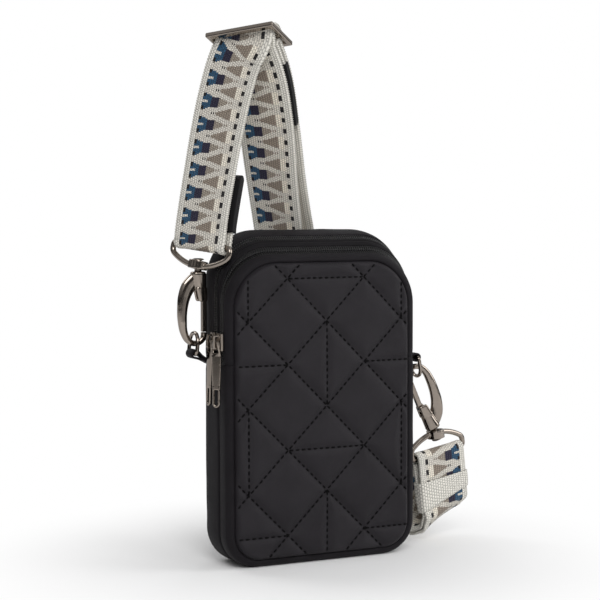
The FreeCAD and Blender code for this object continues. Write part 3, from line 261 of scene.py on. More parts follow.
def grid_faces(rows, columns, start=0, flip=False):
    """Quads between rows of points."""
    faces = []
    for row in range(rows - 1):
        for column in range(columns - 1):
            a = start + row * columns + column
            quad = (a, a + 1, a + columns + 1, a + columns)
            faces.append(quad[::-1] if flip else quad)
    return faces


def tube_faces(rings, around, start=0, caps=True):
    """Quads between closed rings of points, with ends."""
    faces = []
    for ring in range(rings - 1):
        for place in range(around):
            a = start + ring * around + place
            b = start + ring * around + (place + 1) % around
            faces.append((a, b, b + around, a + around))
    if caps:
        last = start + (rings - 1) * around
        faces.append(tuple(start + place for place in reversed(range(around))))
        faces.append(tuple(last + place for place in range(around)))
    return faces


def ring_points(centre, first, second, around=6):
    """Points on an oval round a centre, from its two half axes."""
    turns = [math.tau * n / around for n in range(around)]
    return [centre + first * math.cos(turn) + second * math.sin(turn) for turn in turns]


def steps_between(start, end, count):
    return [start + (end - start) * n / (count - 1) for n in range(count)]


def smooth_step(low, high, value):
    share = min(max((value - low) / (high - low), 0.0), 1.0)
    return share * share * (3 - 2 * share)


def hermite(t):
    """Weights of a stretch's two ends and of its two end slopes."""
    return 2 * t ** 3 - 3 * t ** 2 + 1, 3 * t ** 2 - 2 * t ** 3, t ** 3 - 2 * t ** 2 + t, t ** 3 - t ** 2


def distances(points):
    """How far along the line each point lies."""
    made = [0.0]
    for before, after in zip(points, points[1:]):
        made.append(made[-1] + (after - before).length)
    return made


TINY = 1e-9


def place_at(places, lengths, distance):
    """Number of the stretch that holds a distance along a row of places, and the place there."""
    last = len(places) - 2
    index = next((n for n in range(last) if lengths[n + 1] >= distance), last)
    share = (distance - lengths[index]) / max(lengths[index + 1] - lengths[index], TINY)
    return index, tuple(a.lerp(b, share) for a, b in zip(places[index], places[index + 1]))


def square_to(across, along):
    return (across - along * across.dot(along)).normalized()


def blend_rows(rows, at):
    """Row of numbers at a place, smoothly between the given ones; the first number is the place."""
    last = len(rows) - 1
    index = next((n for n in range(last) if at <= rows[n + 1][0]), last - 1)
    before, here = rows[max(index - 1, 0)], rows[index]
    after, later = rows[index + 1], rows[min(index + 2, last)]
    span = after[0] - here[0]
    weights = hermite(min(max((at - here[0]) / span, 0.0), 1.0))
    made = []
    for n in range(1, len(here)):
        slopes = []
        for left, middle, right in ((before, here, after), (here, after, later)):
            first = (middle[n] - left[n]) / (middle[0] - left[0]) if middle is not left else 0.0
            second = (right[n] - middle[n]) / (right[0] - middle[0]) if right is not middle else 0.0
            slopes.append(2 * first * second / (first + second) if first * second > 0 else 0.0)
        parts = (here[n], after[n], slopes[0] * span, slopes[1] * span)
        made.append(sum(part * weight for part, weight in zip(parts, weights)))
    return made


# Height where both zips end
ZIP_END = 118.4
# Pouch shell: place along the band, depth, half width, foot, top, upper and lower corner radius
FRONT_ROWS = [
    (-20.8, -16.6, 56.2, 4.9, 176.1, 26.4, 15.4),
    (-19.8, -17.5, 56.9, 4.2, 176.8, 27.0, 16.1),
    (-18.8, -18.0, 57.8, 3.3, 177.7, 27.8, 16.9),
    (-17.6, -17.7, 59.2, 2.1, 178.8, 28.6, 17.9),
    (-16.3, -16.6, 60.6, 1.0, 179.9, 29.4, 19.0),
    (-14.6, -14.8, 61.7, 0.2, 181.1, 30.0, 20.0),
    (-11.5, -11.5, 62.0, 0.0, 183.4, 30.0, 20.0),
    (-8.2, -8.2, 62.0, 0.0, 187.2, 30.0, 20.0),
    (-6.9, -6.9, 61.5, 0.4, 188.3, 30.0, 20.0),
    (-6.4, -6.4, 60.2, 1.6, 187.4, 29.6, 19.6),
]
REAR_ROWS = [
    (-5.6, -5.6, 60.2, 1.6, 187.6, 29.6, 19.6),
    (-5.1, -5.1, 61.6, 0.4, 189.1, 30.0, 20.0),
    (-2.5, -2.5, 62.0, 0.0, 190.7, 30.0, 20.0),
    (2.0, 2.0, 62.1, 0.0, 193.0, 30.0, 20.0),
    (8.0, 8.0, 62.0, 0.0, 194.4, 30.0, 20.0),
    (13.6, 13.6, 61.3, 0.1, 195.0, 30.0, 20.0),
    (15.9, 15.9, 60.0, 0.9, 193.7, 30.0, 20.0),
    (17.1, 17.1, 58.0, 3.0, 190.2, 29.0, 18.5),
    (17.8, 17.4, 57.2, 4.2, 188.6, 28.6, 18.0),
]
DIVIDER_ROWS = [(depth, depth, 60.8, 1.2, 188.0, 29.6, 19.6) for depth in (-6.6, -5.4)]
DIVIDER_RINGS = ((-6.5, 0.35), (-6.0, 0.0), (-5.5, 0.35))
FRONT_START, FRONT_END = FRONT_ROWS[0][0], FRONT_ROWS[-1][0]
REAR_START, REAR_END = REAR_ROWS[0][0], REAR_ROWS[-1][0]
FRONT_ZIP, REAR_ZIP = [joint_place(part + "_pull_swing").y for part in ("front", "rear")]
BASE_STEPS, LOW_STEPS, SIDE_STEPS, RISE_STEPS, TOP_ARC_STEPS, TOP_STEPS = 24, 14, 44, 16, 26, 30
RIGHT_END = BASE_STEPS + LOW_STEPS + SIDE_STEPS
LEFT_END = RIGHT_END + 2 * (RISE_STEPS + TOP_ARC_STEPS + TOP_STEPS)
AROUND = LEFT_END + SIDE_STEPS + LOW_STEPS + BASE_STEPS


def outline(half, foot, top, top_radius, low_radius):
    """Closed outline from the middle of the base to +X and round, with the two zip ends on it."""
    right = []

    def line(x1, z1, x2, z2, steps):
        for n in range(steps):
            right.append((x1 + (x2 - x1) * n / steps, z1 + (z2 - z1) * n / steps))

    def arc(x, z, radius, start, steps):
        for n in range(steps):
            turn = math.radians(start + 90.0 * n / steps)
            right.append((x + radius * math.cos(turn), z + radius * math.sin(turn)))

    line(0, foot, half - low_radius, foot, BASE_STEPS)
    arc(half - low_radius, foot + low_radius, low_radius, -90, LOW_STEPS)
    line(half, foot + low_radius, half, ZIP_END, SIDE_STEPS)
    line(half, ZIP_END, half, top - top_radius, RISE_STEPS)
    arc(half - top_radius, top - top_radius, top_radius, 0, TOP_ARC_STEPS)
    line(half - top_radius, top, 0, top, TOP_STEPS)
    return right + [(0, top)] + [(-x, z) for x, z in right[:0:-1]]


def ring_at(rows, place, inset=0.0):
    """Outline of the shell at a place in its depth."""
    depth, half, foot, top, top_radius, low_radius = blend_rows(rows, place)
    return [Vector((x, depth, z)) for x, z in outline(
        half - inset, foot + inset, top - inset, max(top_radius - inset, 1.0), max(low_radius - inset, 1.0))]


def crumple(point, amount):
    """Slow and fine waves of soft cloth."""
    wave = noise.noise(Vector((point.x * 0.035, point.y * 0.05, point.z * 0.022)))
    fine = noise.noise(Vector((point.x * 0.11, point.y * 0.09 + 7.0, point.z * 0.10)))
    return amount * (wave + 0.35 * fine)


UPPER = range(RIGHT_END, LEFT_END + 1)
LOWER = [n % AROUND for n in range(LEFT_END, AROUND + RIGHT_END + 1)]
BAND_THICK, END_TUCK = 1.1, 0.5


# Bands: name, solid, rows of the shell, first and last depth, count of depths, part of the outline,
# cloth, swell, inset and wrinkles
BANDS = (
    ("front_gusset", "front_lower_gusset", FRONT_ROWS, FRONT_START, FRONT_END, 29,
     LOWER, BAND_CLOTH, 0.15, 0.0, 0.35),
    ("rear_gusset", "rear_lower_gusset", REAR_ROWS, REAR_START, REAR_END, 29,
     LOWER, BAND_CLOTH, 0.3, 0.0, 0.5),
    ("front_fore_tape", "front_zip_fore_tape", FRONT_ROWS, FRONT_START, -13.7, 17,
     UPPER, BAND_CLOTH, 0.1, 0.1, 0.15),
    ("front_aft_tape", "front_zip_aft_tape", FRONT_ROWS, -9.3, FRONT_END, 7,
     UPPER, TAPE_CLOTH, 0.1, 0.25, 0.1),
    ("rear_fore_tape", "rear_zip_fore_tape", REAR_ROWS, REAR_START, -4.7, 4,
     UPPER, TAPE_CLOTH, 0.0, 0.2, 0.1),
    ("rear_aft_tape", "rear_zip_aft_tape", REAR_ROWS, -0.3, REAR_END, 24,
     UPPER, BAND_CLOTH, 0.35, 0.1, 0.45),
)


def band_piece(name, node, rows, first, last, count, keep, material, swell, inset, wrinkle):
    """Cloth band between two depths, on the upper or the lower part of the outline."""
    depths = steps_between(first, last, count)
    points = []
    for depth in depths:
        lift = swell * math.sin(math.pi * (depth - first) / (last - first)) - inset
        ring = ring_at(rows, depth)
        for n, index in enumerate(keep):
            here = ring[index]
            along = ring[(index + 1) % AROUND] - ring[index - 1]
            out = Vector((along.z, 0.0, -along.x)).normalized()
            tuck = -END_TUCK * (1.0 - smooth_step(0, 2, min(n, len(keep) - 1 - n)))
            base_guard = smooth_step(0.0, 3.0, here.z - 0.4)
            points.append(here + out * ((lift + crumple(here, wrinkle)) * base_guard + tuck))
    piece = make_piece(name, points, grid_faces(len(depths), len(keep), flip=True), material)
    thicken(piece, BAND_THICK)
    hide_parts(node)
    return piece


COIL_HALF, COIL_SPLIT, COIL_SINK, TOOTH_SINK, TOOTH_REACH = 2.4, 1.1, 0.75, 0.62, 2.15
TOOTH_START, TOOTH_PITCH, TOOTH_HIGH = 0.6, 1.45, 1.05
TOOTH_SHAPE = ((0.0, 0.34), (0.12, 0.62), (0.5, 0.56), (0.88, 0.5), (1.0, 0.24))


def coil_piece(name, node, rows, depth, sign):
    """One half of a zip: a narrow tape edge with a row of wound teeth on it."""
    near, far = depth + sign * COIL_SPLIT / 4, depth + sign * COIL_HALF
    points = []
    for at in steps_between(near, far, 3):
        points += ring_at(rows, at, COIL_SINK)[RIGHT_END:LEFT_END + 1]
    faces = grid_faces(3, len(UPPER), flip=sign > 0)
    low, high = [ring_at(rows, at, TOOTH_SINK)[RIGHT_END:LEFT_END + 1]
                 for at in (near, depth + sign * TOOTH_REACH)]
    lengths, pairs = distances(low), list(zip(low, high))
    for number in range(int((lengths[-1] - TOOTH_START) / TOOTH_PITCH) + 1):
        index, (inner, outer) = place_at(pairs, lengths, TOOTH_START + TOOTH_PITCH * number)
        along = (low[index + 1] - low[index]).normalized()
        out = Vector((along.z, 0.0, -along.x))
        faces += tube_faces(len(TOOTH_SHAPE), 6, len(points))
        for place, size in TOOTH_SHAPE:
            points += ring_points(inner.lerp(outer, place), along * size, out * (size * TOOTH_HIGH))
    piece = make_piece(name, points, faces, COIL)
    face_outwards(piece)
    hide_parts(node)


# Quilted front panel and plain back panel; outlines are half width, foot, top, upper and lower corner radius
QUILT = 25.0
QUILT_X, QUILT_Z = 1.3, 167.5
PANEL_FACE, BACK_SEAM, PANEL_BACK = -16.9, 17.0, 0.7
FRONT_OUTLINE = (56.7, 4.3, 176.7, 26.8, 15.8)
BACK_OUTLINE = (58.2, 3.8, 188.4, 29.4, 18.5)
# A panel's rounded rim, middle and span of its swell, height, swell and wrinkles
FRONT_RIM, FRONT_MIDDLE, FRONT_SPAN, FRONT_HIGH, FRONT_BELLY, FRONT_WRINKLE = 3.0, 90.0, 250.0, 3.5, 1.5, 0.16
BACK_RIM, BACK_MIDDLE, BACK_SPAN, BACK_HIGH, BACK_BELLY, BACK_WRINKLE = 4.0, 97.0, 260.0, 2.0, 0.9, 0.22
# Grooves along the sewn lines: depth and reach
SEAM_GROOVE, SEAM_SWELL, SHORT_GROOVE, BACK_GROOVE = (1.70, 2.0), (0.55, 8.0), (1.50, 1.9), (0.55, 1.1)
BELLY_WIDE, SEAM_ROUND, SEAM_FADE, BACK_SEAM_INSET, BACK_WAVE_AT = 150.0, 0.9, 3.0, 7.0, 30.0
PANEL_PITCH, CORNER_STEPS, SPREAD = 1.15, 22, math.pi / 2 * 0.72
# Short stitched lines between the diagonals, as ends in columns and rows of the quilt
SHORT_LINES = [((-1, 0), (1, 0)), ((0, 1), (0, 3)), ((-1, 4), (1, 4)), ((0, 5), (0, 6.6))]
for side in (-1, 1):
    SHORT_LINES += [((2 * side, 0), (2 * side, 1)), ((2.4 * side, 2), (side, 2)),
                    ((2 * side, 3), (2 * side, 5)), ((2.4 * side, 6), (side, 6))]


def seam_distance(x, z):
    """Distances to the nearest diagonal and the nearest short line of stitches."""
    column, row = (x - QUILT_X) / QUILT, (QUILT_Z - z) / QUILT
    turns = [(value - 1) / 2 for value in (column + row, column - row)]
    diagonal = min(abs(turn - round(turn)) for turn in turns) * QUILT * math.sqrt(2)
    short = math.inf
    for start, end in SHORT_LINES:
        a, way = Vector(start), Vector(end) - Vector(start)
        share = min(max((Vector((column, row)) - a).dot(way) / way.length_squared, 0.0), 1.0)
        short = min(short, (Vector((column, row)) - a - way * share).length * QUILT)
    return diagonal, short


def edge_distance(x, z, half, foot, top, top_radius, low_radius):
    """Distance inside a rounded outline."""
    ax = abs(x)
    if z > top - top_radius and ax > half - top_radius:
        return top_radius - math.hypot(ax - half + top_radius, z - top + top_radius)
    if z < foot + low_radius and ax > half - low_radius:
        return low_radius - math.hypot(ax - half + low_radius, z - foot - low_radius)
    return min(half - ax, z - foot, top - z)


def dome(x, z, shape, rim_round, middle, span):
    """Distance inside a panel's outline, share of its rounded rim, and share of its swell."""
    inside = edge_distance(x, z, *shape)
    rim = 1.0 - (1.0 - min(max(inside, 0.0) / rim_round, 1.0)) ** 2
    belly = math.cos(math.pi * x / BELLY_WIDE) * math.cos(math.pi * (z - middle) / span)
    return inside, rim, max(belly, 0.0)


def groove(size, distance):
    depth, reach = size
    return depth * math.exp(-distance / reach)


def front_rise(x, z):
    """Height of the quilted panel over its seam: a swell less the grooves of the stitched lines."""
    inside, rim, belly = dome(x, z, FRONT_OUTLINE, FRONT_RIM, FRONT_MIDDLE, FRONT_SPAN)
    diagonal, short = [math.hypot(distance, SEAM_ROUND) - SEAM_ROUND for distance in seam_distance(x, z)]
    sunk = max(groove(SEAM_GROOVE, diagonal) + groove(SEAM_SWELL, diagonal), groove(SHORT_GROOVE, short))
    wave = crumple(Vector((x, 0.0, z)), FRONT_WRINKLE)
    return rim * (FRONT_HIGH + FRONT_BELLY * belly - sunk * smooth_step(0.0, SEAM_FADE, inside) + wave)


def back_rise(x, z):
    """Height of the back panel over its seam, with one sewn line near its edge."""
    inside, rim, belly = dome(x, z, BACK_OUTLINE, BACK_RIM, BACK_MIDDLE, BACK_SPAN)
    sunk = groove(BACK_GROOVE, abs(inside - BACK_SEAM_INSET))
    wave = crumple(Vector((x, BACK_WAVE_AT, z)), BACK_WRINKLE)
    return rim * (BACK_HIGH + BACK_BELLY * belly - sunk + wave)


def panel_rows(shape):
    """Heights of a rounded outline, close together at its corners, with the half width at each."""
    half, foot, top, top_radius, low_radius = shape
    turns = [math.pi / 2 * n / CORNER_STEPS for n in range(CORNER_STEPS + 1)]
    rows = [(foot + low_radius * (1 - math.cos(turn)), half - low_radius * (1 - math.sin(turn)))
            for turn in turns[:-1]]
    middle = top - top_radius - foot - low_radius
    count = int(middle / PANEL_PITCH)
    rows += [(foot + low_radius + middle * n / count, half) for n in range(count)]
    return rows + [(top - top_radius * (1 - math.sin(turn)), half - top_radius * (1 - math.cos(turn)))
                   for turn in turns]


def panel_piece(name, node, shape, rise, seam, sign, columns):
    """Padded panel: a shaped face, a flat back and the border between them."""
    rows = panel_rows(shape)
    points = []
    for z, half in rows:
        for share in steps_between(-1.0, 1.0, columns):
            x = half * math.sin(SPREAD * share) / math.sin(SPREAD)
            points.append((x, seam + sign * rise(x, z), z))
    back = len(points)
    points += [(x, seam - sign * PANEL_BACK, z) for x, y, z in points]
    faces = grid_faces(len(rows), columns, 0, sign > 0) + grid_faces(len(rows), columns, back, sign < 0)
    border = list(range(columns))
    border += [row * columns + columns - 1 for row in range(1, len(rows))]
    border += [(len(rows) - 1) * columns + n for n in reversed(range(columns - 1))]
    border += [row * columns for row in reversed(range(1, len(rows) - 1))]
    faces += [(a, b, b + back, a + back) for a, b in zip(border, border[1:] + border[:1])]
    piece = make_piece(name, points, faces, CHARCOAL)
    face_outwards(piece)
    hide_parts(node)


# Sewn threads: a stitch's places along it, share of its thickness and how far it dips;
# length, gap and radius of the stitches
STITCH_SHAPE = ((0.0, 0.35, -0.9), (0.14, 0.9, -0.1), (0.5, 1.0, 0.35), (0.86, 0.9, -0.1), (1.0, 0.35, -0.9))
STITCH_FLAT, SEWN_LIFT = 1.15, 0.1
QUILT_STITCH, COVER_STITCH, TAB_STITCH = (2.8, 1.05, 0.44), (2.2, 0.9, 0.22), (1.9, 0.7, 0.2)


def thread_run(points, normals, long, gap, radius):
    """Stitches along a line: each is a short thread that dips at its ends."""
    lengths, places = distances(points), list(zip(points, normals))
    count = max(round(lengths[-1] / (long + gap)), 1)
    pitch = lengths[-1] / count
    long = pitch * long / (long + gap)
    stitches = []
    for number in range(count):
        start = pitch * number + (pitch - long) / 2
        stitch = []
        for part, size, dip in STITCH_SHAPE:
            index, (centre, out) = place_at(places, lengths, start + long * part)
            along = (points[index + 1] - points[index]).normalized()
            side = along.cross(out).normalized()
            stitch += ring_points(centre + out * (radius * dip), side * (radius * STITCH_FLAT * size),
                                  out * (radius * size))
        stitches.append(stitch)
    return stitches


def thread_piece(name, runs):
    """All the stitches of some runs in one piece."""
    points, faces = [], []
    for stitch in (stitch for run in runs for stitch in run):
        faces += tube_faces(len(STITCH_SHAPE), 6, len(points))
        points += stitch
    face_outwards(make_piece(name, points, faces, THREAD))


LINE_STEP, LINE_INSET, LINE_LIFT, SLOPE_REACH = 0.8, 0.7, 0.12, 0.4
# Columns of the quilt that its diagonals reach, and the numbers of the diagonals
QUILT_OUT, DIAGONALS = 2.6, range(-9, 13, 2)


def surface_line(start, end):
    """Points and normals along a straight line over the quilted panel, kept inside its outline."""
    (x1, z1), (x2, z2) = start, end
    count = max(int(math.hypot(x2 - x1, z2 - z1) / LINE_STEP), 2)
    points, normals = [], []
    for n in range(count + 1):
        x, z = x1 + (x2 - x1) * n / count, z1 + (z2 - z1) * n / count
        if edge_distance(x, z, *FRONT_OUTLINE) < LINE_INSET:
            continue
        side = (front_rise(x + SLOPE_REACH, z) - front_rise(x - SLOPE_REACH, z)) / (2 * SLOPE_REACH)
        up = (front_rise(x, z + SLOPE_REACH) - front_rise(x, z - SLOPE_REACH)) / (2 * SLOPE_REACH)
        normal = Vector((-side, -1, -up)).normalized()
        points.append(Vector((x, PANEL_FACE - front_rise(x, z), z)) + normal * LINE_LIFT)
        normals.append(normal)
    return points, normals


def quilt_threads():
    """Stitches of all the quilt's lines that cross the panel."""
    lines = []
    for total in DIAGONALS:
        lines.append(((-QUILT_OUT, total + QUILT_OUT), (QUILT_OUT, total - QUILT_OUT)))
        lines.append(((-QUILT_OUT, -QUILT_OUT - total), (QUILT_OUT, QUILT_OUT - total)))
    runs = []
    for ends in lines + SHORT_LINES:
        start, end = [(QUILT_X + column * QUILT, QUILT_Z - row * QUILT) for column, row in ends]
        points, normals = surface_line(start, end)
        if len(points) > 4:
            runs.append(thread_run(points, normals, *QUILT_STITCH))
    return runs


def make_pouch():
    bands = [band_piece(*band) for band in BANDS]
    for part, rows, depth in (("front", FRONT_ROWS, FRONT_ZIP), ("rear", REAR_ROWS, REAR_ZIP)):
        coil_piece(part + "_fore_coil", part + "_zip_fore_coil", rows, depth, -1)
        coil_piece(part + "_aft_coil", part + "_zip_aft_coil", rows, depth, 1)
    panel_piece("quilted_front", "front_panel", FRONT_OUTLINE, front_rise, PANEL_FACE, -1, 111)
    panel_piece("padded_back", "back_panel", BACK_OUTLINE, back_rise, BACK_SEAM, 1, 61)
    thread_piece("quilt_stitches", quilt_threads())
    points = []
    for depth, inset in DIVIDER_RINGS:
        points += ring_at(DIVIDER_ROWS, depth, inset)
    divider = make_piece("divider", points, tube_faces(3, AROUND), LINING)
    face_outwards(divider)
    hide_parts("divider_panel")


# Hooks and eyes: an eye's lean from straight up and its bar's turn, in degrees; heights over the swivel
EYE_SETS = {"left": (13.0, -61.0), "right": (172.0, 191.0)}
EYE_MIDDLE, EYE_BAR_HIGH = 4.3, 16.4
PLACE_DIGITS, AXIS_DIGITS = 4, 6


def to_digits(vector, digits):
    """A vector rounded as the record rounds its places and axes."""
    return Vector([round(value, digits) for value in vector])


def hook_frame(side):
    """A hook's swivel: its place, its line across and its axis."""
    name = side + "_hook_swivel"
    up = Vector(JOINTS[name]["axis"])
    return joint_place(name), Vector((up.z, 0, -up.x)), up


def eye_frame(side):
    """An eye's bar: its middle, its line across and the axis of its collar."""
    lean, turn = [math.radians(angle) for angle in EYE_SETS[side]]
    axis = Vector((math.sin(lean), 0, math.cos(lean)))
    across = square_to(Vector((math.cos(turn), math.sin(turn), 0)), axis)
    origin, aside, up = hook_frame(side)
    bar = origin + up * EYE_MIDDLE + axis * (EYE_BAR_HIGH - EYE_MIDDLE)
    return to_digits(bar, PLACE_DIGITS), to_digits(across, AXIS_DIGITS), to_digits(axis, AXIS_DIGITS)


# Strap: the route repeats the solid's stations
EYES = {side: eye_frame(side) for side in EYE_SETS}
STRAP_WIDE, STRAP_THICK, STRAP_PLAY = 38.0, 1.9, 0.5
FRAME_AT = Vector((-40.6, 8.5, 311.5))
FRAME_SET = Quaternion(Z, math.radians(-53.0)) @ Quaternion(X, math.radians(-21.0))
FRAME_TURN = FRAME_SET @ Quaternion(Y, math.radians(-7.0))
FRAME_ASLANT = FRAME_SET @ Quaternion(Y, math.radians(3.0))
FRAME_WIDE, FRAME_BAR, FRAME_THICK, EYE_BAR = 27.0, 4.4, 3.2, 3.4
FRAME_ACROSS, FRAME_BACK, FRAME_UP = FRAME_TURN @ X, FRAME_TURN @ Y, FRAME_TURN @ Z
CENTRE_BAR = FRAME_AT + FRAME_TURN @ Vector((0, (FRAME_WIDE - FRAME_BAR) / 2, 0))
# Stations as shares: way along and bow aside, with the two layers' spread in the upper run;
# in the lower run way across, way down and distance off the back
LEFT_SHARES = [(0.10, 0.012), (0.35, 0.030), (0.59, 0.042), (0.74, 0.042), (0.91, 0.026)]
UPPER_SHARES = [(0.12, 0.022, 2.45), (0.42, 0.026, 1.85), (0.71, 0.010, 2.3)]
LOWER_SHARES = [(0.12, 0.28, 1.22), (0.32, 0.48, 1.18), (0.58, 0.66, 0.95), (0.82, 0.85, 0.64)]
CREST_SPREAD_SHARE, CREST_GAP_SHARE, CLOSE_SPREAD_SHARE = 2.9, 0.55, 0.75
BACK_FACE, REAR_TOP, REAR_RUN_X, PAIR_DROP = 19.4, 195.0, 1.8, 5.0
FOLD_STATIONS, FOLD_DROP, FOLD_RADIUS, FOLD_SLANT = 4, 30.0, 10.0, math.radians(17.0)
BAR_LOOP = EYE_BAR / 2 + STRAP_PLAY + STRAP_THICK / 2
INNER_LOOP = FRAME_BAR / 2 + STRAP_PLAY + STRAP_THICK / 2
OUTER_LOOP = INNER_LOOP + STRAP_THICK + STRAP_PLAY
LEFT_FLAP, SLIDER_FLAP = 41.0, 47.0
RIBBON_STEPS, LOOP_STEPS = 20, 28


def smooth_line(points, known, steps):
    """Curve through points; a known heading at a point is kept."""
    last = len(points) - 1
    chords = [(after - before).length for before, after in zip(points, points[1:])]
    ways = [(after - before) / chord for before, after, chord in zip(points, points[1:], chords)]
    slopes = []
    for index in range(last + 1):
        if known[index] is not None:
            slopes.append(known[index])
        elif index in (0, last):
            slopes.append(ways[min(index, last - 1)])
        else:
            both = chords[index - 1] + chords[index]
            slopes.append(ways[index - 1] * (chords[index] / both) + ways[index] * (chords[index - 1] / both))
    line = []
    for index, chord in enumerate(chords):
        for step in range(steps):
            start, end, leave, arrive = hermite(step / steps)
            line.append(points[index] * start + points[index + 1] * end
                        + slopes[index] * (chord * leave) + slopes[index + 1] * (chord * arrive))
    return line + [points[last]]


def ribbon_frames(stations):
    """Point, width, normal, spread and heading along a strap, from its stations."""
    line = smooth_line([place[0] for place in stations], [place[3] for place in stations], RIBBON_STEPS)
    last = len(line) - 1
    headings = []
    for index in range(last + 1):
        known = stations[index // RIBBON_STEPS][3] if index % RIBBON_STEPS == 0 else None
        headings.append(known or (line[min(index + 1, last)] - line[max(index - 1, 0)]).normalized())
    across = [square_to(stations[0][1], headings[0])]
    for heading in headings[1:]:
        across.append(square_to(across[-1], heading))
    lengths = distances(line)
    turns = [(0.0, 0.0)]
    for station, (point, facing, spread, heading) in enumerate(stations):
        index = station * RIBBON_STEPS
        if facing is None or station == 0:
            continue
        wanted = square_to(facing, headings[index])
        angle = math.atan2(headings[index].dot(across[index].cross(wanted)), across[index].dot(wanted))
        angle -= math.tau * round((angle - turns[-1][1]) / math.tau)
        turns.append((lengths[index], angle))
    frames = []
    for index, point in enumerate(line):
        later = next((n for n, (at, angle) in enumerate(turns) if at >= lengths[index]), len(turns) - 1)
        (start, angle0), (end, angle1) = turns[max(later - 1, 0)], turns[later]
        turned = 0.0 if end == start else smooth_step(start, end, lengths[index])
        width = Quaternion(headings[index], angle0 + (angle1 - angle0) * turned) @ across[index]
        station = min(index // RIBBON_STEPS, len(stations) - 2)
        part_way = index / RIBBON_STEPS - station
        spread = stations[station][2] * (1 - part_way) + stations[station + 1][2] * part_way
        frames.append((point, width, headings[index].cross(width).normalized(), spread, headings[index]))
    return frames


def trimmed(places, length):
    """The first part of a row of places, cut at a length."""
    index, end = place_at(places, distances([place[0] for place in places]), length)
    return places[:index + 1] + [end]


def bend(centre, across, outward, up, radius):
    """Half a turn of strap round a bar."""
    places = []
    for step in range(LOOP_STEPS + 1):
        angle = math.pi * step / LOOP_STEPS
        radial = outward * math.cos(angle) + up * math.sin(angle)
        places.append((centre + radial * radius, across, radial))
    return places


def left_places():
    """The left run, from the flap's cut end round the left eye and up to the slider."""
    bar, across, axis = EYES["left"]
    slot = CENTRE_BAR - FRAME_TURN @ Vector((0, OUTER_LOOP, FRAME_THICK))
    way = slot - bar
    aside = square_to(across * -1, way.normalized())
    first_share, first_bow = LEFT_SHARES[0]
    heading = square_to(way * first_share + aside * (way.length * first_bow), across)
    start = bar + across.cross(heading) * BAR_LOOP
    stations = [(start, across, 0, heading)]
    stations += [(start + (slot - start) * share + aside * (way.length * bow), None, 0, None)
                 for share, bow in LEFT_SHARES]
    frames = ribbon_frames(stations + [(slot, FRAME_ASLANT @ X, 0, FRAME_ASLANT @ Z)])
    point, width, normal, spread, heading = frames[0]
    flap = [(place[0] + place[2] * (2 * BAR_LOOP), place[1], place[2]) for place in frames]
    places = trimmed(flap, LEFT_FLAP)[::-1]
    places += bend(bar, width, normal, heading * -1, BAR_LOOP)[1:]
    return places + [(place[0], place[1], place[2] * -1) for place in frames[1:]]


def fold_stations():
    """The slanting fold below the keeper, from behind the pouch to the right eye's side."""
    bar, eye_x, down = EYES["right"]
    across = eye_x * -1
    axis = across * math.cos(FOLD_SLANT) - down * math.sin(FOLD_SLANT)
    round_way = across * math.sin(FOLD_SLANT) + down * math.cos(FOLD_SLANT)
    back = across.cross(down)
    stations = []
    for step in range(FOLD_STATIONS + 1):
        turn = math.pi * step / FOLD_STATIONS
        point = bar + down * FOLD_DROP + back * (FOLD_RADIUS * (1 - math.cos(turn)))
        point = point + round_way * (FOLD_RADIUS * math.sin(turn))
        point = point - axis * (FOLD_RADIUS * turn * math.tan(FOLD_SLANT))
        tangent = round_way * math.cos(turn) + back * math.sin(turn)
        facing = axis * math.cos(FOLD_SLANT) + tangent * math.sin(FOLD_SLANT)
        heading = axis * math.sin(FOLD_SLANT) - tangent * math.cos(FOLD_SLANT)
        stations.append((point, facing * -1, CLOSE_SPREAD_SHARE * STRAP_THICK, heading))
    return stations[::-1]


def pair_frames():
    """Middle line of the doubled strap, from the slider over the back of the pouch to the right eye."""
    top = CENTRE_BAR + FRAME_TURN @ Vector((0, (OUTER_LOOP - INNER_LOOP) / 2, -PAIR_DROP))
    crest = Vector((REAR_RUN_X, BACK_FACE + CREST_GAP_SHARE * STRAP_WIDE, REAR_TOP))
    way = crest - top
    stations = [(top, FRAME_ACROSS, (INNER_LOOP + OUTER_LOOP) / 2, None)]
    for share, bow, spread in UPPER_SHARES:
        stations.append((top + way * share + X * (way.length * bow), None, spread * STRAP_THICK, None))
    stations.append((crest, EYES["left"][1], CREST_SPREAD_SHARE * STRAP_THICK, None))
    fold = fold_stations()
    far = fold[0][0]
    for across_share, down_share, off in LOWER_SHARES:
        point = Vector((crest.x + (far.x - crest.x) * across_share, BACK_FACE + STRAP_WIDE / 2 * off,
                        crest.z + (far.z - crest.z) * down_share))
        stations.append((point, None, CLOSE_SPREAD_SHARE * STRAP_THICK, None))
    bar, eye_x, eye_z = EYES["right"]
    return ribbon_frames(stations + fold + [(bar, eye_x, BAR_LOOP, eye_z * -1)])


def layer_places(pair, side):
    """One of the two layers of the doubled strap, on either side of its middle line."""
    return [(point + normal * (side * spread), width, normal * side)
            for point, width, normal, spread, heading in pair[1:-1]]


def rear_places(pair, left):
    """The outer layer, from the left run's end over the slider's bar and down to the right eye."""
    places = [left[-1]] + bend(CENTRE_BAR, FRAME_ACROSS, FRAME_BACK * -1, FRAME_UP, OUTER_LOOP)
    return places + layer_places(pair, -1)


def return_places(pair, rear):
    """The inner layer, from the right eye back up and over the slider's bar to its cut end."""
    point, width, normal, spread, heading = pair[-1]
    places = [rear[-1]] + bend(point, width, normal * -1, heading, spread)
    places += layer_places(pair, 1)[::-1]
    places += bend(CENTRE_BAR, FRAME_ACROSS, FRAME_BACK * -1, FRAME_UP, INNER_LOOP)
    flap = [(place[0], place[1], place[2] * -1) for place in pair[1:]]
    return places + trimmed(flap, SLIDER_FLAP)


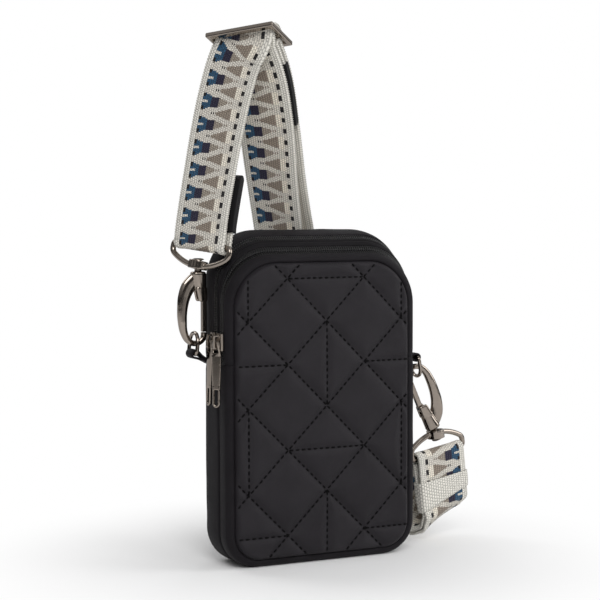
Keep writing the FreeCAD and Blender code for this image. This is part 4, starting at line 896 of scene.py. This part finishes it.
def even_places(places, pitch):
    """Places at even steps along a strip, and its length."""
    lengths = distances([place[0] for place in places])
    count = max(round(lengths[-1] / pitch), 1)
    made = []
    for n in range(count + 1):
        index, (point, width, normal) = place_at(places, lengths, lengths[-1] * n / count)
        width = width.normalized()
        made.append((point, width, square_to(normal, width)))
    return made, lengths[-1]


# Woven figures: length of one repeat and where the first begins, places across the strap where each
# figure starts and ends, half lengths along the strap, and how these taper
MOTIF, STRAP_PHASE = 13.6, 0.9
BORDERS, DASHES, DOTS, TRIANGLE = (4.6, 33.6), (31.0, 33.4), (11.8, 15.6), (15.9, 26.9)
ARMS_END, BODY_END, SKIRT_END, TAIL_END, BLOCK_END, DOT = 11.0, 17.0, 21.9, 26.0, 30.6, 0.8
ARM_SLIT_END, ARM_MIDDLE, CUFF_END = 9.0, 6.0, 6.4
DASH_HALF, ARM_SLIT_HALF, ARM_HALF, CUFF_HALF, BODY_HALF, SKIRT_HALF = 1.6, 0.52, 5.1, 2.5, 3.1, 2.7
TAIL_HALF, DOTS_HALF, TRIANGLE_HALF, BLOCK_HALF = 0.5, 0.62, 0.80, 3.8
ARM_TAPER, SKIRT_TAPER, TRIANGLE_TAPER = 0.40, 0.3, 0.28


def yarn(u, v):
    """Number of the yarn that shows at a place across and along the strap."""
    share = (v / MOTIF) % 1.0
    figure = abs(share if share < 0.5 else share - 1.0) * MOTIF
    wedge = abs(share - 0.5) * MOTIF
    dotted = int(u / DOT) % 2 == 0
    if u < BORDERS[0] or u > BORDERS[1]:
        return EDGE
    if DASHES[0] <= u <= DASHES[1] and min(figure, wedge) < DASH_HALF:
        return BLACK
    slit = ARM_SLIT_HALF if u < ARM_SLIT_END else 0.0
    if u < ARMS_END and slit <= figure < ARM_HALF - abs(u - ARM_MIDDLE) * ARM_TAPER:
        return BLACK if u < CUFF_END and figure > CUFF_HALF else BLUE
    if ARMS_END <= u < BODY_END and figure < BODY_HALF:
        return NAVY
    if BODY_END <= u < SKIRT_END and figure < SKIRT_HALF - (u - BODY_END) * SKIRT_TAPER:
        return PALE_TAUPE
    if SKIRT_END <= u < TAIL_END and figure < TAIL_HALF and dotted:
        return TAUPE
    if DOTS[0] <= u < DOTS[1] and wedge < DOTS_HALF and dotted:
        return BLACK
    if TRIANGLE[0] <= u < TRIANGLE[1] and wedge < TRIANGLE_HALF + (u - TRIANGLE[0]) * TRIANGLE_TAPER:
        return TAUPE
    if TRIANGLE[1] <= u < BLOCK_END and wedge < BLOCK_HALF:
        return IVORY
    return GROUND


PICK, CELLS = 0.68, 48
EDGE_ROUND, EDGE_LEAST_SHARE, EDGE_WAVE_SHARE, EDGE_NEAR, WEAVE_SINK = 1.3, 0.22, 0.030, 0.1, 0.12
BORDER_START, BORDER_FULL, BORDER_RISE, BACK_BORDER = 5.6, 4.4, 1.2, 5.0
BORDER_SWELL, BORDER_RIB, CHECK_RIB = 0.16, 0.34, 0.13


def strap_section(rib):
    """Offsets across the webbing and half heights at its cells' corners, on one pick of the weave."""
    made = []
    for column in range(CELLS + 1):
        u = STRAP_WIDE * column / CELLS
        edge = min(u, STRAP_WIDE - u)
        rounding = math.sqrt(max(1.0 - max(1.0 - edge / EDGE_ROUND, 0.0) ** 2, 0.0))
        border = smooth_step(BORDER_START, BORDER_FULL, edge) * smooth_step(0.0, BORDER_RISE, edge)
        check = rib if (column // 2) % 2 else -rib
        swell = border * (BORDER_SWELL + BORDER_RIB * rib) + (1.0 - border) * CHECK_RIB * check
        height = (STRAP_THICK / 2 - WEAVE_SINK + swell) * max(rounding, EDGE_LEAST_SHARE)
        wave = EDGE_WAVE_SHARE * rib if edge < EDGE_NEAR else 0.0
        made.append(((u - STRAP_WIDE / 2) * (1.0 + wave), height))
    return made


def show_yarns(piece, numbers, flat):
    """Gives each face its yarn's number and each corner its place on the flat cloth, in millimetres."""
    shown = piece.data.attributes.new("yarn", "FLOAT", "FACE")
    shown.data.foreach_set("value", [float(number) for number in numbers])
    cloth = piece.data.uv_layers.new(name="cloth")
    cloth.data.foreach_set("uv", [value * MM for place in flat for value in place])
    face_outwards(piece)


def strap_piece(name, node, places, travelled):
    """Webbing along a row of places, with its woven figures on the outer side; gives its length."""
    rows, length = even_places(places, PICK)
    sections = strap_section(-0.5), strap_section(0.5)
    columns, wide = CELLS + 1, 2 * (CELLS + 1)
    cell, pick = STRAP_WIDE / CELLS, length / (len(rows) - 1)
    points, faces, numbers, flat = [], [], [], []
    for n, (centre, across, normal) in enumerate(rows):
        for side in (1, -1):
            points += [centre + across * aside + normal * (side * height)
                       for aside, height in sections[n % 2]]

    def weave(face, number, column, n, corners):
        faces.append(face)
        numbers.append(number)
        flat.extend([((column + side) * cell, (n + up) * pick) for side, up in corners])

    upright, turned = ((0, 0), (1, 0), (1, 1), (0, 1)), ((0, 0), (0, 1), (1, 1), (1, 0))
    for n in range(len(rows) - 1):
        base, run = n * wide, (n + 0.5) * pick + travelled
        for column in range(CELLS):
            a, b = base + column, base + column + columns
            u = STRAP_WIDE * (column + 0.5) / CELLS
            weave((a, a + 1, a + wide + 1, a + wide), yarn(u, run), column, n, upright)
            back_yarn = EDGE if min(u, STRAP_WIDE - u) < BACK_BORDER else GROUND
            weave((b, b + wide, b + wide + 1, b + 1), back_yarn, column, n, turned)
        a, b = base, base + columns
        weave((a, a + wide, b + wide, b), EDGE, 0, n, upright)
        a, b = base + columns - 1, base + wide - 1
        weave((a, b, b + wide, a + wide), EDGE, 0, n, upright)
    for base in (0, (len(rows) - 1) * wide):
        end = [base + n for n in range(columns)] + [base + columns + n for n in reversed(range(columns))]
        weave(tuple(end), EDGE, 0, 0, [(corner, 0) for corner in range(wide)])
    piece = make_piece(name, points, faces, WEBBING)
    show_yarns(piece, numbers, flat)
    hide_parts(node)
    return length


def loop_section(half_wide, half_thick, radius, long_steps=8, corner_steps=4):
    """Closed rounded outline of a flat loop, across and through the strap."""
    points = []
    for quarter, (sx, sy) in enumerate(((1, 1), (-1, 1), (-1, -1), (1, -1))):
        for n in range(corner_steps + 1):
            angle = math.pi / 2 * (quarter + n / corner_steps)
            points.append((sx * (half_wide - radius) + radius * math.cos(angle),
                           sy * (half_thick - radius) + radius * math.sin(angle)))
        if quarter in (0, 2):
            points += [(sx * (half_wide - radius) * (1 - 2 * n / long_steps), sy * half_thick)
                       for n in range(1, long_steps)]
    return points


COVER_LONG, COVER_THICK, COVER_PAST, COVER_CLOTH_THICK = 36.0, 0.9, 1.5, 0.6
COVER_PITCH, COVER_CORNER, COVER_LIP, COVER_LIP_REACH, COVER_PUFF = 1.2, 0.42, 0.16, 0.9, 0.14
COVER_CLOSING, COVER_NARROW, COVER_END_SHARE = (-0.4, 2.2), 0.5, 0.45
COVER_SEAMS, COVER_SEAM_HALF, COVER_SEAM_POINTS = (3.0, COVER_LONG - 2.2), 18.0, 37


def cover_piece(name, node, places):
    """Black sleeve over a cut end of the strap; the places run from the cut end inwards."""
    (end, across, normal), inner = places[0], places[1][0]
    past = (end + (end - inner).normalized() * COVER_PAST, across, normal)
    rows, length = even_places(trimmed([past] + places, COVER_LONG), COVER_PITCH)
    half_wide, half_thick = STRAP_WIDE / 2 + COVER_THICK, STRAP_THICK / 2 + COVER_THICK
    points = []
    for n, (centre, width, face) in enumerate(rows):
        along = n * length / (len(rows) - 1)
        close = smooth_step(*COVER_CLOSING, along)
        lip = COVER_LIP * math.exp(-(length - along) / COVER_LIP_REACH)
        thick = half_thick * (COVER_END_SHARE + (1 - COVER_END_SHARE) * close) + lip
        section = loop_section(half_wide - COVER_NARROW * (1 - close), thick, COVER_CORNER)
        for a, b in section:
            puff = COVER_PUFF * math.sin(math.pi * along / length) * (1.0 if b > 0 else -1.0)
            points.append(centre + width * a + face * (b + puff))
    open_sleeve = tube_faces(len(rows), len(section))[:-1]
    piece = make_piece(name, points, open_sleeve, COVER_CLOTH)
    face_outwards(piece)
    thicken(piece, COVER_CLOTH_THICK)
    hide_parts(node)
    runs = []
    for side in (1, -1):
        for from_end in COVER_SEAMS:
            centre, width, face = rows[int(from_end / length * (len(rows) - 1))]
            line = [centre + width * x + face * (side * (half_thick + SEWN_LIFT))
                    for x in steps_between(-COVER_SEAM_HALF, COVER_SEAM_HALF, COVER_SEAM_POINTS)]
            runs.append(thread_run(line, [face * side] * len(line), *COVER_STITCH))
    thread_piece(name + "_stitches", runs)


KEEPER_START, KEEPER_LONG, KEEPER_THICK, KEEPER_PLAY, KEEPER_LEAN = 15.0, 14.3, 0.9, 0.1, 0.235
KEEPER_ROWS, KEEPER_PUFF, KEEPER_ROUND, KEEPER_INNER_ROUND, KEEPER_INNER_SINK = 12, 0.18, 2.3, 1.5, 0.1


def keeper_piece(pair):
    """Plain webbing loop round both layers below the right eye, its lower end slanting with the fold."""
    bar, eye_x, eye_z = EYES["right"]
    eye_y = eye_z.cross(eye_x)
    low = pair[-1 - RIBBON_STEPS]
    half_wide = STRAP_WIDE / 2 + KEEPER_PLAY + KEEPER_THICK
    points = []
    for inner in (False, True):
        for part in steps_between(0.0, 1.0, KEEPER_ROWS):
            share = (KEEPER_START + KEEPER_LONG * part) / FOLD_DROP
            spread = BAR_LOOP * (1 - share) + low[3] * share
            centre = bar.lerp(low[0], share)
            half_thick = spread + STRAP_THICK / 2 + KEEPER_PLAY + KEEPER_THICK
            less = KEEPER_THICK - KEEPER_INNER_SINK if inner else -KEEPER_PUFF * math.sin(math.pi * part)
            corner = KEEPER_INNER_ROUND if inner else KEEPER_ROUND
            section = loop_section(half_wide - less, half_thick - less, corner, 12, 5)
            points += [centre + (eye_x + eye_z * (KEEPER_LEAN * part)) * a + eye_y * b for a, b in section]
    around = len(section)
    layer = KEEPER_ROWS * around
    faces = tube_faces(KEEPER_ROWS, around, 0, False) + tube_faces(KEEPER_ROWS, around, layer, False)
    for ring in (0, KEEPER_ROWS - 1):
        for n in range(around):
            a, b = ring * around + n, ring * around + (n + 1) % around
            faces.append((a, b, b + layer, a + layer))
    lengths, pitch = distances(points[:around] + points[:1]), KEEPER_LONG / (KEEPER_ROWS - 1)
    flat = []
    for face in faces:
        places = [corner % layer for corner in face]
        turns = [n % around for n in places]
        wraps = 0 in turns and around - 1 in turns
        flat += [(lengths[around if wraps and turn == 0 else turn], n // around * pitch)
                 for n, turn in zip(places, turns)]
    piece = make_piece("keeper", points, faces, PLAIN_WEBBING)
    show_yarns(piece, [EDGE] * len(faces), flat)
    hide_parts("strap_keeper")


def make_strap():
    """The strap's three runs in one woven pattern, its two end covers and its keeper."""
    pair, left = pair_frames(), left_places()
    rear = rear_places(pair, left)
    back = return_places(pair, rear)
    travelled = STRAP_PHASE
    travelled += strap_piece("strap_left", "strap_left_run", left, travelled)
    travelled += strap_piece("strap_right_rear", "strap_rear_run", rear, travelled)
    strap_piece("strap_right_return", "strap_return_run", back, travelled)
    cover_piece("left_cover", "left_end_cover", left)
    cover_piece("slider_cover", "slider_end_cover", back[::-1])
    keeper_piece(pair)


# Tabs that hold the rings: slope in degrees, reach and side
TABS = {"left": (28.0, 11.6, -1), "right": (-12.0, 14.2, 1)}
RING_WIRE, TAB_PLAY, TAB_WIDE, TAB_LAYER = 2.3, 0.3, 9.0, 1.3
TAB_LOOP = RING_WIRE / 2 + TAB_PLAY + TAB_LAYER / 2
TAB_SECTION = ((-1.0, -0.42), (-1.0, 0.36), (-0.93, 0.5), (0.93, 0.5), (1.0, 0.36), (1.0, -0.42))
TAB_STEPS, TAB_BEND_STEPS, TAB_OPENING, TAB_LAYER_GAP = 10, 16, 6.0, 0.02
TAB_SEAM, TAB_SEAM_HALF, TAB_SEAM_POINTS = 5.6, 4.0, 9


def tab_piece(side):
    """Narrow band folded round a ring's bar, with a sewn line across both layers."""
    rise, reach, sign = TABS[side]
    bar = joint_place(side + "_ring_swing")
    outward = Vector((sign * math.cos(math.radians(rise)), 0, math.sin(math.radians(rise))))
    up = Vector((-outward.z * sign, 0, outward.x * sign))

    def layer_run(layer):
        run = []
        for back in steps_between(reach - TAB_PLAY, 0.0, TAB_STEPS):
            opening = (TAB_LOOP - TAB_LAYER / 2) * smooth_step(TAB_OPENING, 0.0, back)
            gap = TAB_LAYER / 2 + TAB_LAYER_GAP + opening
            run.append((bar - outward * back + up * (layer * gap), up * layer))
        return run

    route = layer_run(1)
    for n in range(1, TAB_BEND_STEPS):
        angle = math.pi * n / TAB_BEND_STEPS
        out = up * math.cos(angle) + outward * math.sin(angle)
        route.append((bar + out * TAB_LOOP, out))
    route += layer_run(-1)[::-1]
    points = [place + Y * (across * TAB_WIDE / 2) + out * (lift * TAB_LAYER)
              for place, out in route for across, lift in TAB_SECTION]
    faces = tube_faces(len(route), len(TAB_SECTION))
    piece = make_piece(side + "_fabric_tab", points, faces, BAND_CLOTH)
    face_outwards(piece)
    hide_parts(side + "_tab")
    runs = []
    for layer in (1, -1):
        spot = bar - outward * TAB_SEAM + up * (layer * (TAB_LAYER + SEWN_LIFT))
        line = [spot + Y * y for y in steps_between(-TAB_SEAM_HALF, TAB_SEAM_HALF, TAB_SEAM_POINTS)]
        runs.append(thread_run(line, [up * layer] * len(line), *TAB_STITCH))
    thread_piece(side + "_tab_stitches", runs)


# Cast metal: shapes melted together on a fine grid, which rounds their sharp corners;
# the grid's size and the rounds of softening
HOOK_CAST, GATE_CAST, EYE_CAST, RING_CAST = (0.25, 5), (0.25, 3), (0.30, 4), (0.25, 2)
ZIP_CAST, PULL_CAST, FRAME_CAST = (0.20, 4), (0.2, 3), (0.25, 3)
SAME_POINT = 0.000002


def melt(piece, voxel, rounds):
    remesh = piece.modifiers.new("cast", "REMESH")
    remesh.mode, remesh.voxel_size, remesh.use_smooth_shade = "VOXEL", voxel * MM, True
    soften = piece.modifiers.new("soften", "SMOOTH")
    soften.factor, soften.iterations = 0.5, rounds


def cast_piece(node, body, cast, turn=None):
    """Copy of a solid with its corners rounded."""
    shape = bmesh.new()
    shape.from_mesh(frame["nodes"][node].data)
    bmesh.ops.remove_doubles(shape, verts=shape.verts, dist=SAME_POINT)
    if turn:
        bmesh.ops.transform(shape, matrix=turn, verts=shape.verts)
    mesh = bpy.data.meshes.new("cast_" + node)
    shape.to_mesh(mesh)
    shape.free()
    mesh.materials.clear()
    mesh.materials.append(GUNMETAL)
    piece = bpy.data.objects.new("cast_" + node, mesh)
    scene.collection.objects.link(piece)
    melt(piece, *cast)
    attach(piece, body)
    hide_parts(node)


def melt_piece(name, points, faces, node, body, cast):
    """Bars melted into one casting."""
    piece = make_piece(name, points, faces, GUNMETAL, body)
    face_outwards(piece)
    melt(piece, *cast)
    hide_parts(node)


def bar_mesh(points, faces, stations, square=2.7, around=18):
    """Adds a bar: each station has its centre and two half axes as vectors."""
    start = len(points)
    for centre, first, second in stations:
        for n in range(around):
            turn = math.tau * n / around
            waves = math.cos(turn), math.sin(turn)
            a, b = [math.copysign(abs(wave) ** (2 / square), wave) for wave in waves]
            points.append(centre + first * a + second * b)
    faces += tube_faces(len(stations), around, start)


# Hooks, from the swivel: the claw's middle line from its end to the housing, with half its width
# and half its thickness; height, place, half width and half thickness of the housing and cheeks;
# height and radius of the post
CLAW = [(3.4, -35.0, 1.75, 1.75), (3.15, -38.0, 1.75, 1.7), (0.9, -40.5, 1.7, 1.65), (-2.4, -41.4, 1.7, 1.65),
        (-6.5, -39.6, 1.8, 1.75), (-9.0, -35.0, 2.2, 2.0), (-10.0, -28.5, 2.7, 2.2), (-9.9, -21.0, 3.1, 2.1),
        (-8.7, -14.0, 3.8, 2.0), (-6.1, -8.3, 4.4, 2.0), (-2.6, -4.6, 4.3, 2.1), (0.6, -2.6, 3.4, 2.2)]
HOUSING = [(0.4, 0.0, 3.9, 3.0), (-0.3, 0.0, 4.5, 3.5), (-1.2, 0.1, 4.6, 3.6),
           (-5.0, 0.6, 4.1, 3.45), (-10.5, 1.4, 3.4, 3.25)]
CHEEK = [(-9.0, 1.2, 3.5, 0.80), (-13.0, 1.7, 3.1, 0.78), (-16.2, 2.1, 2.75, 0.74), (-17.0, 2.2, 2.2, 0.5)]
CHEEK_OFF, CLAW_STEPS = 2.5, 6
POST = [(-1.0, 2.1), (7.0, 2.1), (7.1, 3.4), (7.5, 3.6), (7.9, 3.2), (8.2, 2.0)]


def hook_piece(side):
    """Claw, housing, cheeks and swivel post of a hook in one casting."""
    origin, across, up = hook_frame(side)
    points, faces, stations = [], [], []
    line = smooth_line([Vector((x, 0, z)) for x, z, wide, thick in CLAW], [None] * len(CLAW), CLAW_STEPS)
    for n, place in enumerate(line):
        part = n / CLAW_STEPS
        index = min(int(part), len(CLAW) - 2)
        wide, thick = [a + (b - a) * (part - index) for a, b in zip(CLAW[index][2:], CLAW[index + 1][2:])]
        way = (line[min(n + 1, len(line) - 1)] - line[max(n - 1, 0)]).normalized()
        centre = origin + across * place.x + up * place.z
        stations.append((centre, (across * way.z - up * way.x) * wide, Y * thick))
    bar_mesh(points, faces, stations)
    for rows, off, square in ((HOUSING, 0.0, 2.7), (CHEEK, -CHEEK_OFF, 3.0), (CHEEK, CHEEK_OFF, 3.0)):
        bar_mesh(points, faces, [(origin + across * x + up * z + Y * off, across * wide, Y * thick)
                                 for z, x, wide, thick in rows], square)
    bar_mesh(points, faces, [(origin + up * z, across * wide, Y * wide) for z, wide in POST], 2.0, 24)
    melt_piece(side + "_cast_hook", points, faces, side + "_hook_body", side + "_hook", HOOK_CAST)


# Zip pulls: the blade's drop and half width; the rails' places aside of the middle and below the pivot,
# with their half widths and half thicknesses; turn in degrees and lean of each pull
PULL_LONG, PULL_TURNING = 38.0, (1.0, 7.5)
PULL_LOOP_HALF, PULL_LOOP_DROP, PULL_LOOP_ROUND, PULL_LOOP_STEPS = 1.55, 35.0, 1.9, 10
PULL_BLADE = [(-6.2, 2.70), (-8.0, 2.85), (-13.0, 2.80), (-20.0, 2.60), (-26.5, 2.35), (-27.3, 2.2)]
PULL_CHEEK = [(2.2, 0.5), (2.25, -2.0), (2.2, -4.0), (2.1, -7.0)]
PULL_LEG = [(1.65, -25.5), (1.62, -30.0), (PULL_LOOP_HALF, -PULL_LOOP_DROP)]
PULL_AXLE = [(side, 0.0) for side in steps_between(-2.4, 2.4, 5)]
PULL_END = [(PULL_LOOP_HALF * math.cos(turn), -PULL_LOOP_DROP - PULL_LOOP_ROUND * math.sin(turn))
            for turn in steps_between(0.0, math.pi, PULL_LOOP_STEPS + 1)]
BLADE_HALF, CHEEK_HALVES, LEG_HALVES = 0.95, (0.65, 0.95), (0.66, 0.9)
AXLE_HALVES, END_HALVES = (0.78, 0.78), (0.72, 0.9)
PULLS = (("front", 50.0, (1.0, -1.6)), ("rear", 8.0, (0.9, 1.0)))


def pull_piece(part, turn_by, lean):
    """Zip pull that hangs a little turned on its bridge: a blade that ends in a long loop."""
    pivot = joint_place(part + "_pull_swing")
    points, faces = [], []

    def spot(side, drop, out=0.0):
        share = smooth_step(*PULL_TURNING, -drop)
        spin = Quaternion(Z, math.radians(turn_by) * share)
        hang = share * -drop / PULL_LONG
        return pivot + spin @ Vector((out, side, 0)) + Vector((-lean[0] * hang, lean[1] * hang, drop))

    def rail(route, wide, thick):
        stations = []
        for n, (side, drop) in enumerate(route):
            a, b = route[max(n - 1, 0)], route[min(n + 1, len(route) - 1)]
            way = Vector((0, b[0] - a[0], b[1] - a[1])).normalized()
            centre = spot(side, drop)
            across = spot(side + way.z * wide, drop - way.y * wide) - centre
            stations.append((centre, across, spot(side, drop, thick) - centre))
        bar_mesh(points, faces, stations, 3.0, 12)

    blade = []
    for drop, wide in PULL_BLADE:
        centre = spot(0, drop)
        blade.append((centre, spot(wide, drop) - centre, spot(0, drop, BLADE_HALF) - centre))
    bar_mesh(points, faces, blade, 3.4)
    for sign in (-1, 1):
        rail([(sign * side, drop) for side, drop in PULL_CHEEK], *CHEEK_HALVES)
        rail([(sign * side, drop) for side, drop in PULL_LEG], *LEG_HALVES)
    rail(PULL_AXLE, *AXLE_HALVES)
    rail(PULL_END, *END_HALVES)
    melt_piece(part + "_cast_pull", points, faces, part + "_zip_pull", part + "_pull", PULL_CAST)


def dress_metal():
    """Castings over the metal solids; the pins and springs keep their solids with a material."""
    for side in ("left", "right"):
        hook_piece(side)
        cast_piece(side + "_hook_gate", side + "_gate", GATE_CAST)
        cast_piece(side + "_swivel_eye", "pouch", EYE_CAST)
        cast_piece(side + "_d_ring", side + "_ring", RING_CAST)
        for name, material in (("_gate_pin", GUNMETAL), ("_gate_spring", SPRING)):
            data = frame["nodes"][side + name].data
            data.materials.clear()
            data.materials.append(material)
    for part, turn_by, lean in PULLS:
        cast_piece(part + "_zip_slider", part + "_slider", ZIP_CAST)
        pull_piece(part, turn_by, lean)
    tilt = Matrix.Translation(FRAME_AT * MM) @ (FRAME_TURN @ FRAME_SET.inverted()).to_matrix().to_4x4()
    cast_piece("strap_slider", "pouch", FRAME_CAST, tilt @ Matrix.Translation(FRAME_AT * -MM))


# Floor, light and camera, in metres; the sky's levels are by height, from 0 straight down to 1 straight up
FLOOR_HALF, FLOOR_LEVEL = 6.0, -0.0002
SHADOW_NEAR, SHADOW_FAR = 0.05, 0.22
SKY = ((0.44, 0.22), (0.50, 0.05), (0.57, 0.08), (0.64, 0.85), (0.80, 1.0))
FLAG_TURNS = 9.0
LAMPS = (("key", (-0.45, -1.30, 1.15), 0.9, 13.0), ("fill", (1.25, -0.6, 0.6), 0.9, 6.5),
         ("rim", (-0.6, 1.1, 1.1), 0.7, 4.0))
LAMP_AIM = Vector((0, 0, 0.13))
LENS, SENSOR = 100.29, 36.0
CAMERA_AT = Vector((-0.4336, -0.8928, 0.2133))
CAMERA_AHEAD, CAMERA_RIGHT = Vector((0.43075, 0.90046, -0.06021)), Vector((0.90201, -0.43171, -0.00329))


def link(name, data):
    thing = bpy.data.objects.new(name, data)
    scene.collection.objects.link(thing)
    return thing


def make_floor():
    """Pale floor that keeps the shadow near the pouch and is plain white to the camera further off."""
    mesh = bpy.data.meshes.new("floor")
    corners = ((-1, -1), (1, -1), (1, 1), (-1, 1))
    mesh.from_pydata([(x * FLOOR_HALF, y * FLOOR_HALF, FLOOR_LEVEL) for x, y in corners], [], [(0, 1, 2, 3)])
    floor = link("floor", mesh)
    material, tree, shader, place = start_material("floor")
    feed(tree, shader, Base_Color=mix(tree, spots(tree, place, 3.0), grey(0.90), grey(0.93)),
         Roughness=0.8, Specular_IOR_Level=0.1)
    far_off = add(tree, "ShaderNodeVectorMath", {"operation": "LENGTH"}, in0=place).outputs["Value"]
    far_share = stretch(tree, far_off, 0.0, 1.0, SHADOW_NEAR, SHADOW_FAR, interpolation_type="SMOOTHSTEP")
    camera_ray = tree.nodes.new("ShaderNodeLightPath").outputs["Is Camera Ray"]
    seen = math_node(tree, "MULTIPLY", far_share, camera_ray)
    paper = add(tree, "ShaderNodeEmission", Color=grey(1.0), Strength=1.0)
    both = add(tree, "ShaderNodeMixShader", in0=seen, in1=shader.outputs[0], in2=paper.outputs[0])
    feed(tree, tree.nodes["Material Output"], Surface=both.outputs[0])
    mesh.materials.append(material)


def make_world():
    """White to the camera; to the object a studio with a dark horizon, a bright side and upright flags."""
    world = bpy.data.worlds.new("studio")
    scene.world = world
    world.use_nodes = True
    tree = world.node_tree
    rays = tree.nodes.new("ShaderNodeLightPath").outputs
    seen = math_node(tree, "MAXIMUM", rays["Is Camera Ray"], rays["Is Transmission Ray"])
    heading = tree.nodes.new("ShaderNodeTexCoord").outputs["Generated"]
    way = add(tree, "ShaderNodeSeparateXYZ", Vector=heading).outputs
    ramp = add(tree, "ShaderNodeValToRGB", Fac=stretch(tree, way[2], 0.0, 1.0, -1.0, 1.0))
    ends = ramp.color_ramp.elements
    ends[0].position, ends[0].color = 0.0, grey(0.25)
    ends[1].position, ends[1].color = 1.0, colour(0.75, 0.75, 0.76)
    for at, level in SKY:
        ends.new(at).color = grey(level)
    side = stretch(tree, way[0], 0.35, 1.0, -0.9, 0.6)
    round_way = math_node(tree, "MULTIPLY", math_node(tree, "ARCTAN2", way[1], way[0]), FLAG_TURNS)
    flags = stretch(tree, math_node(tree, "SINE", round_way), 0.20, 1.3, -0.9, 0.5)
    level = mix(tree, 1.0, ramp.outputs[0], math_node(tree, "MULTIPLY", side, flags), "MULTIPLY")
    feed(tree, tree.nodes["Background"], Color=mix(tree, seen, level, grey(1.0)), Strength=1.0)


def make_lamps():
    for name, place, size, power in LAMPS:
        lamp = bpy.data.lights.new(name, "AREA")
        lamp.shape, lamp.size, lamp.energy = "DISK", size, power
        holder = link(name, lamp)
        holder.location = place
        holder.rotation_mode = "QUATERNION"
        holder.rotation_quaternion = (LAMP_AIM - Vector(place)).to_track_quat("-Z", "Y")


def make_camera():
    """Camera at the photo's angle."""
    camera = bpy.data.cameras.new("camera")
    camera.lens, camera.sensor_width = LENS, SENSOR
    ahead = CAMERA_AHEAD.normalized()
    right = square_to(CAMERA_RIGHT, ahead)
    turn = Matrix((right, right.cross(ahead), ahead * -1)).transposed().to_4x4()
    scene.camera = link("camera", camera)
    scene.camera.matrix_world = Matrix.Translation(CAMERA_AT) @ turn
    scene.view_settings.view_transform = "Standard"


make_floor()
make_world()
make_lamps()
make_camera()
make_strap()
make_pouch()
for side in TABS:
    tab_piece(side)
dress_metal()
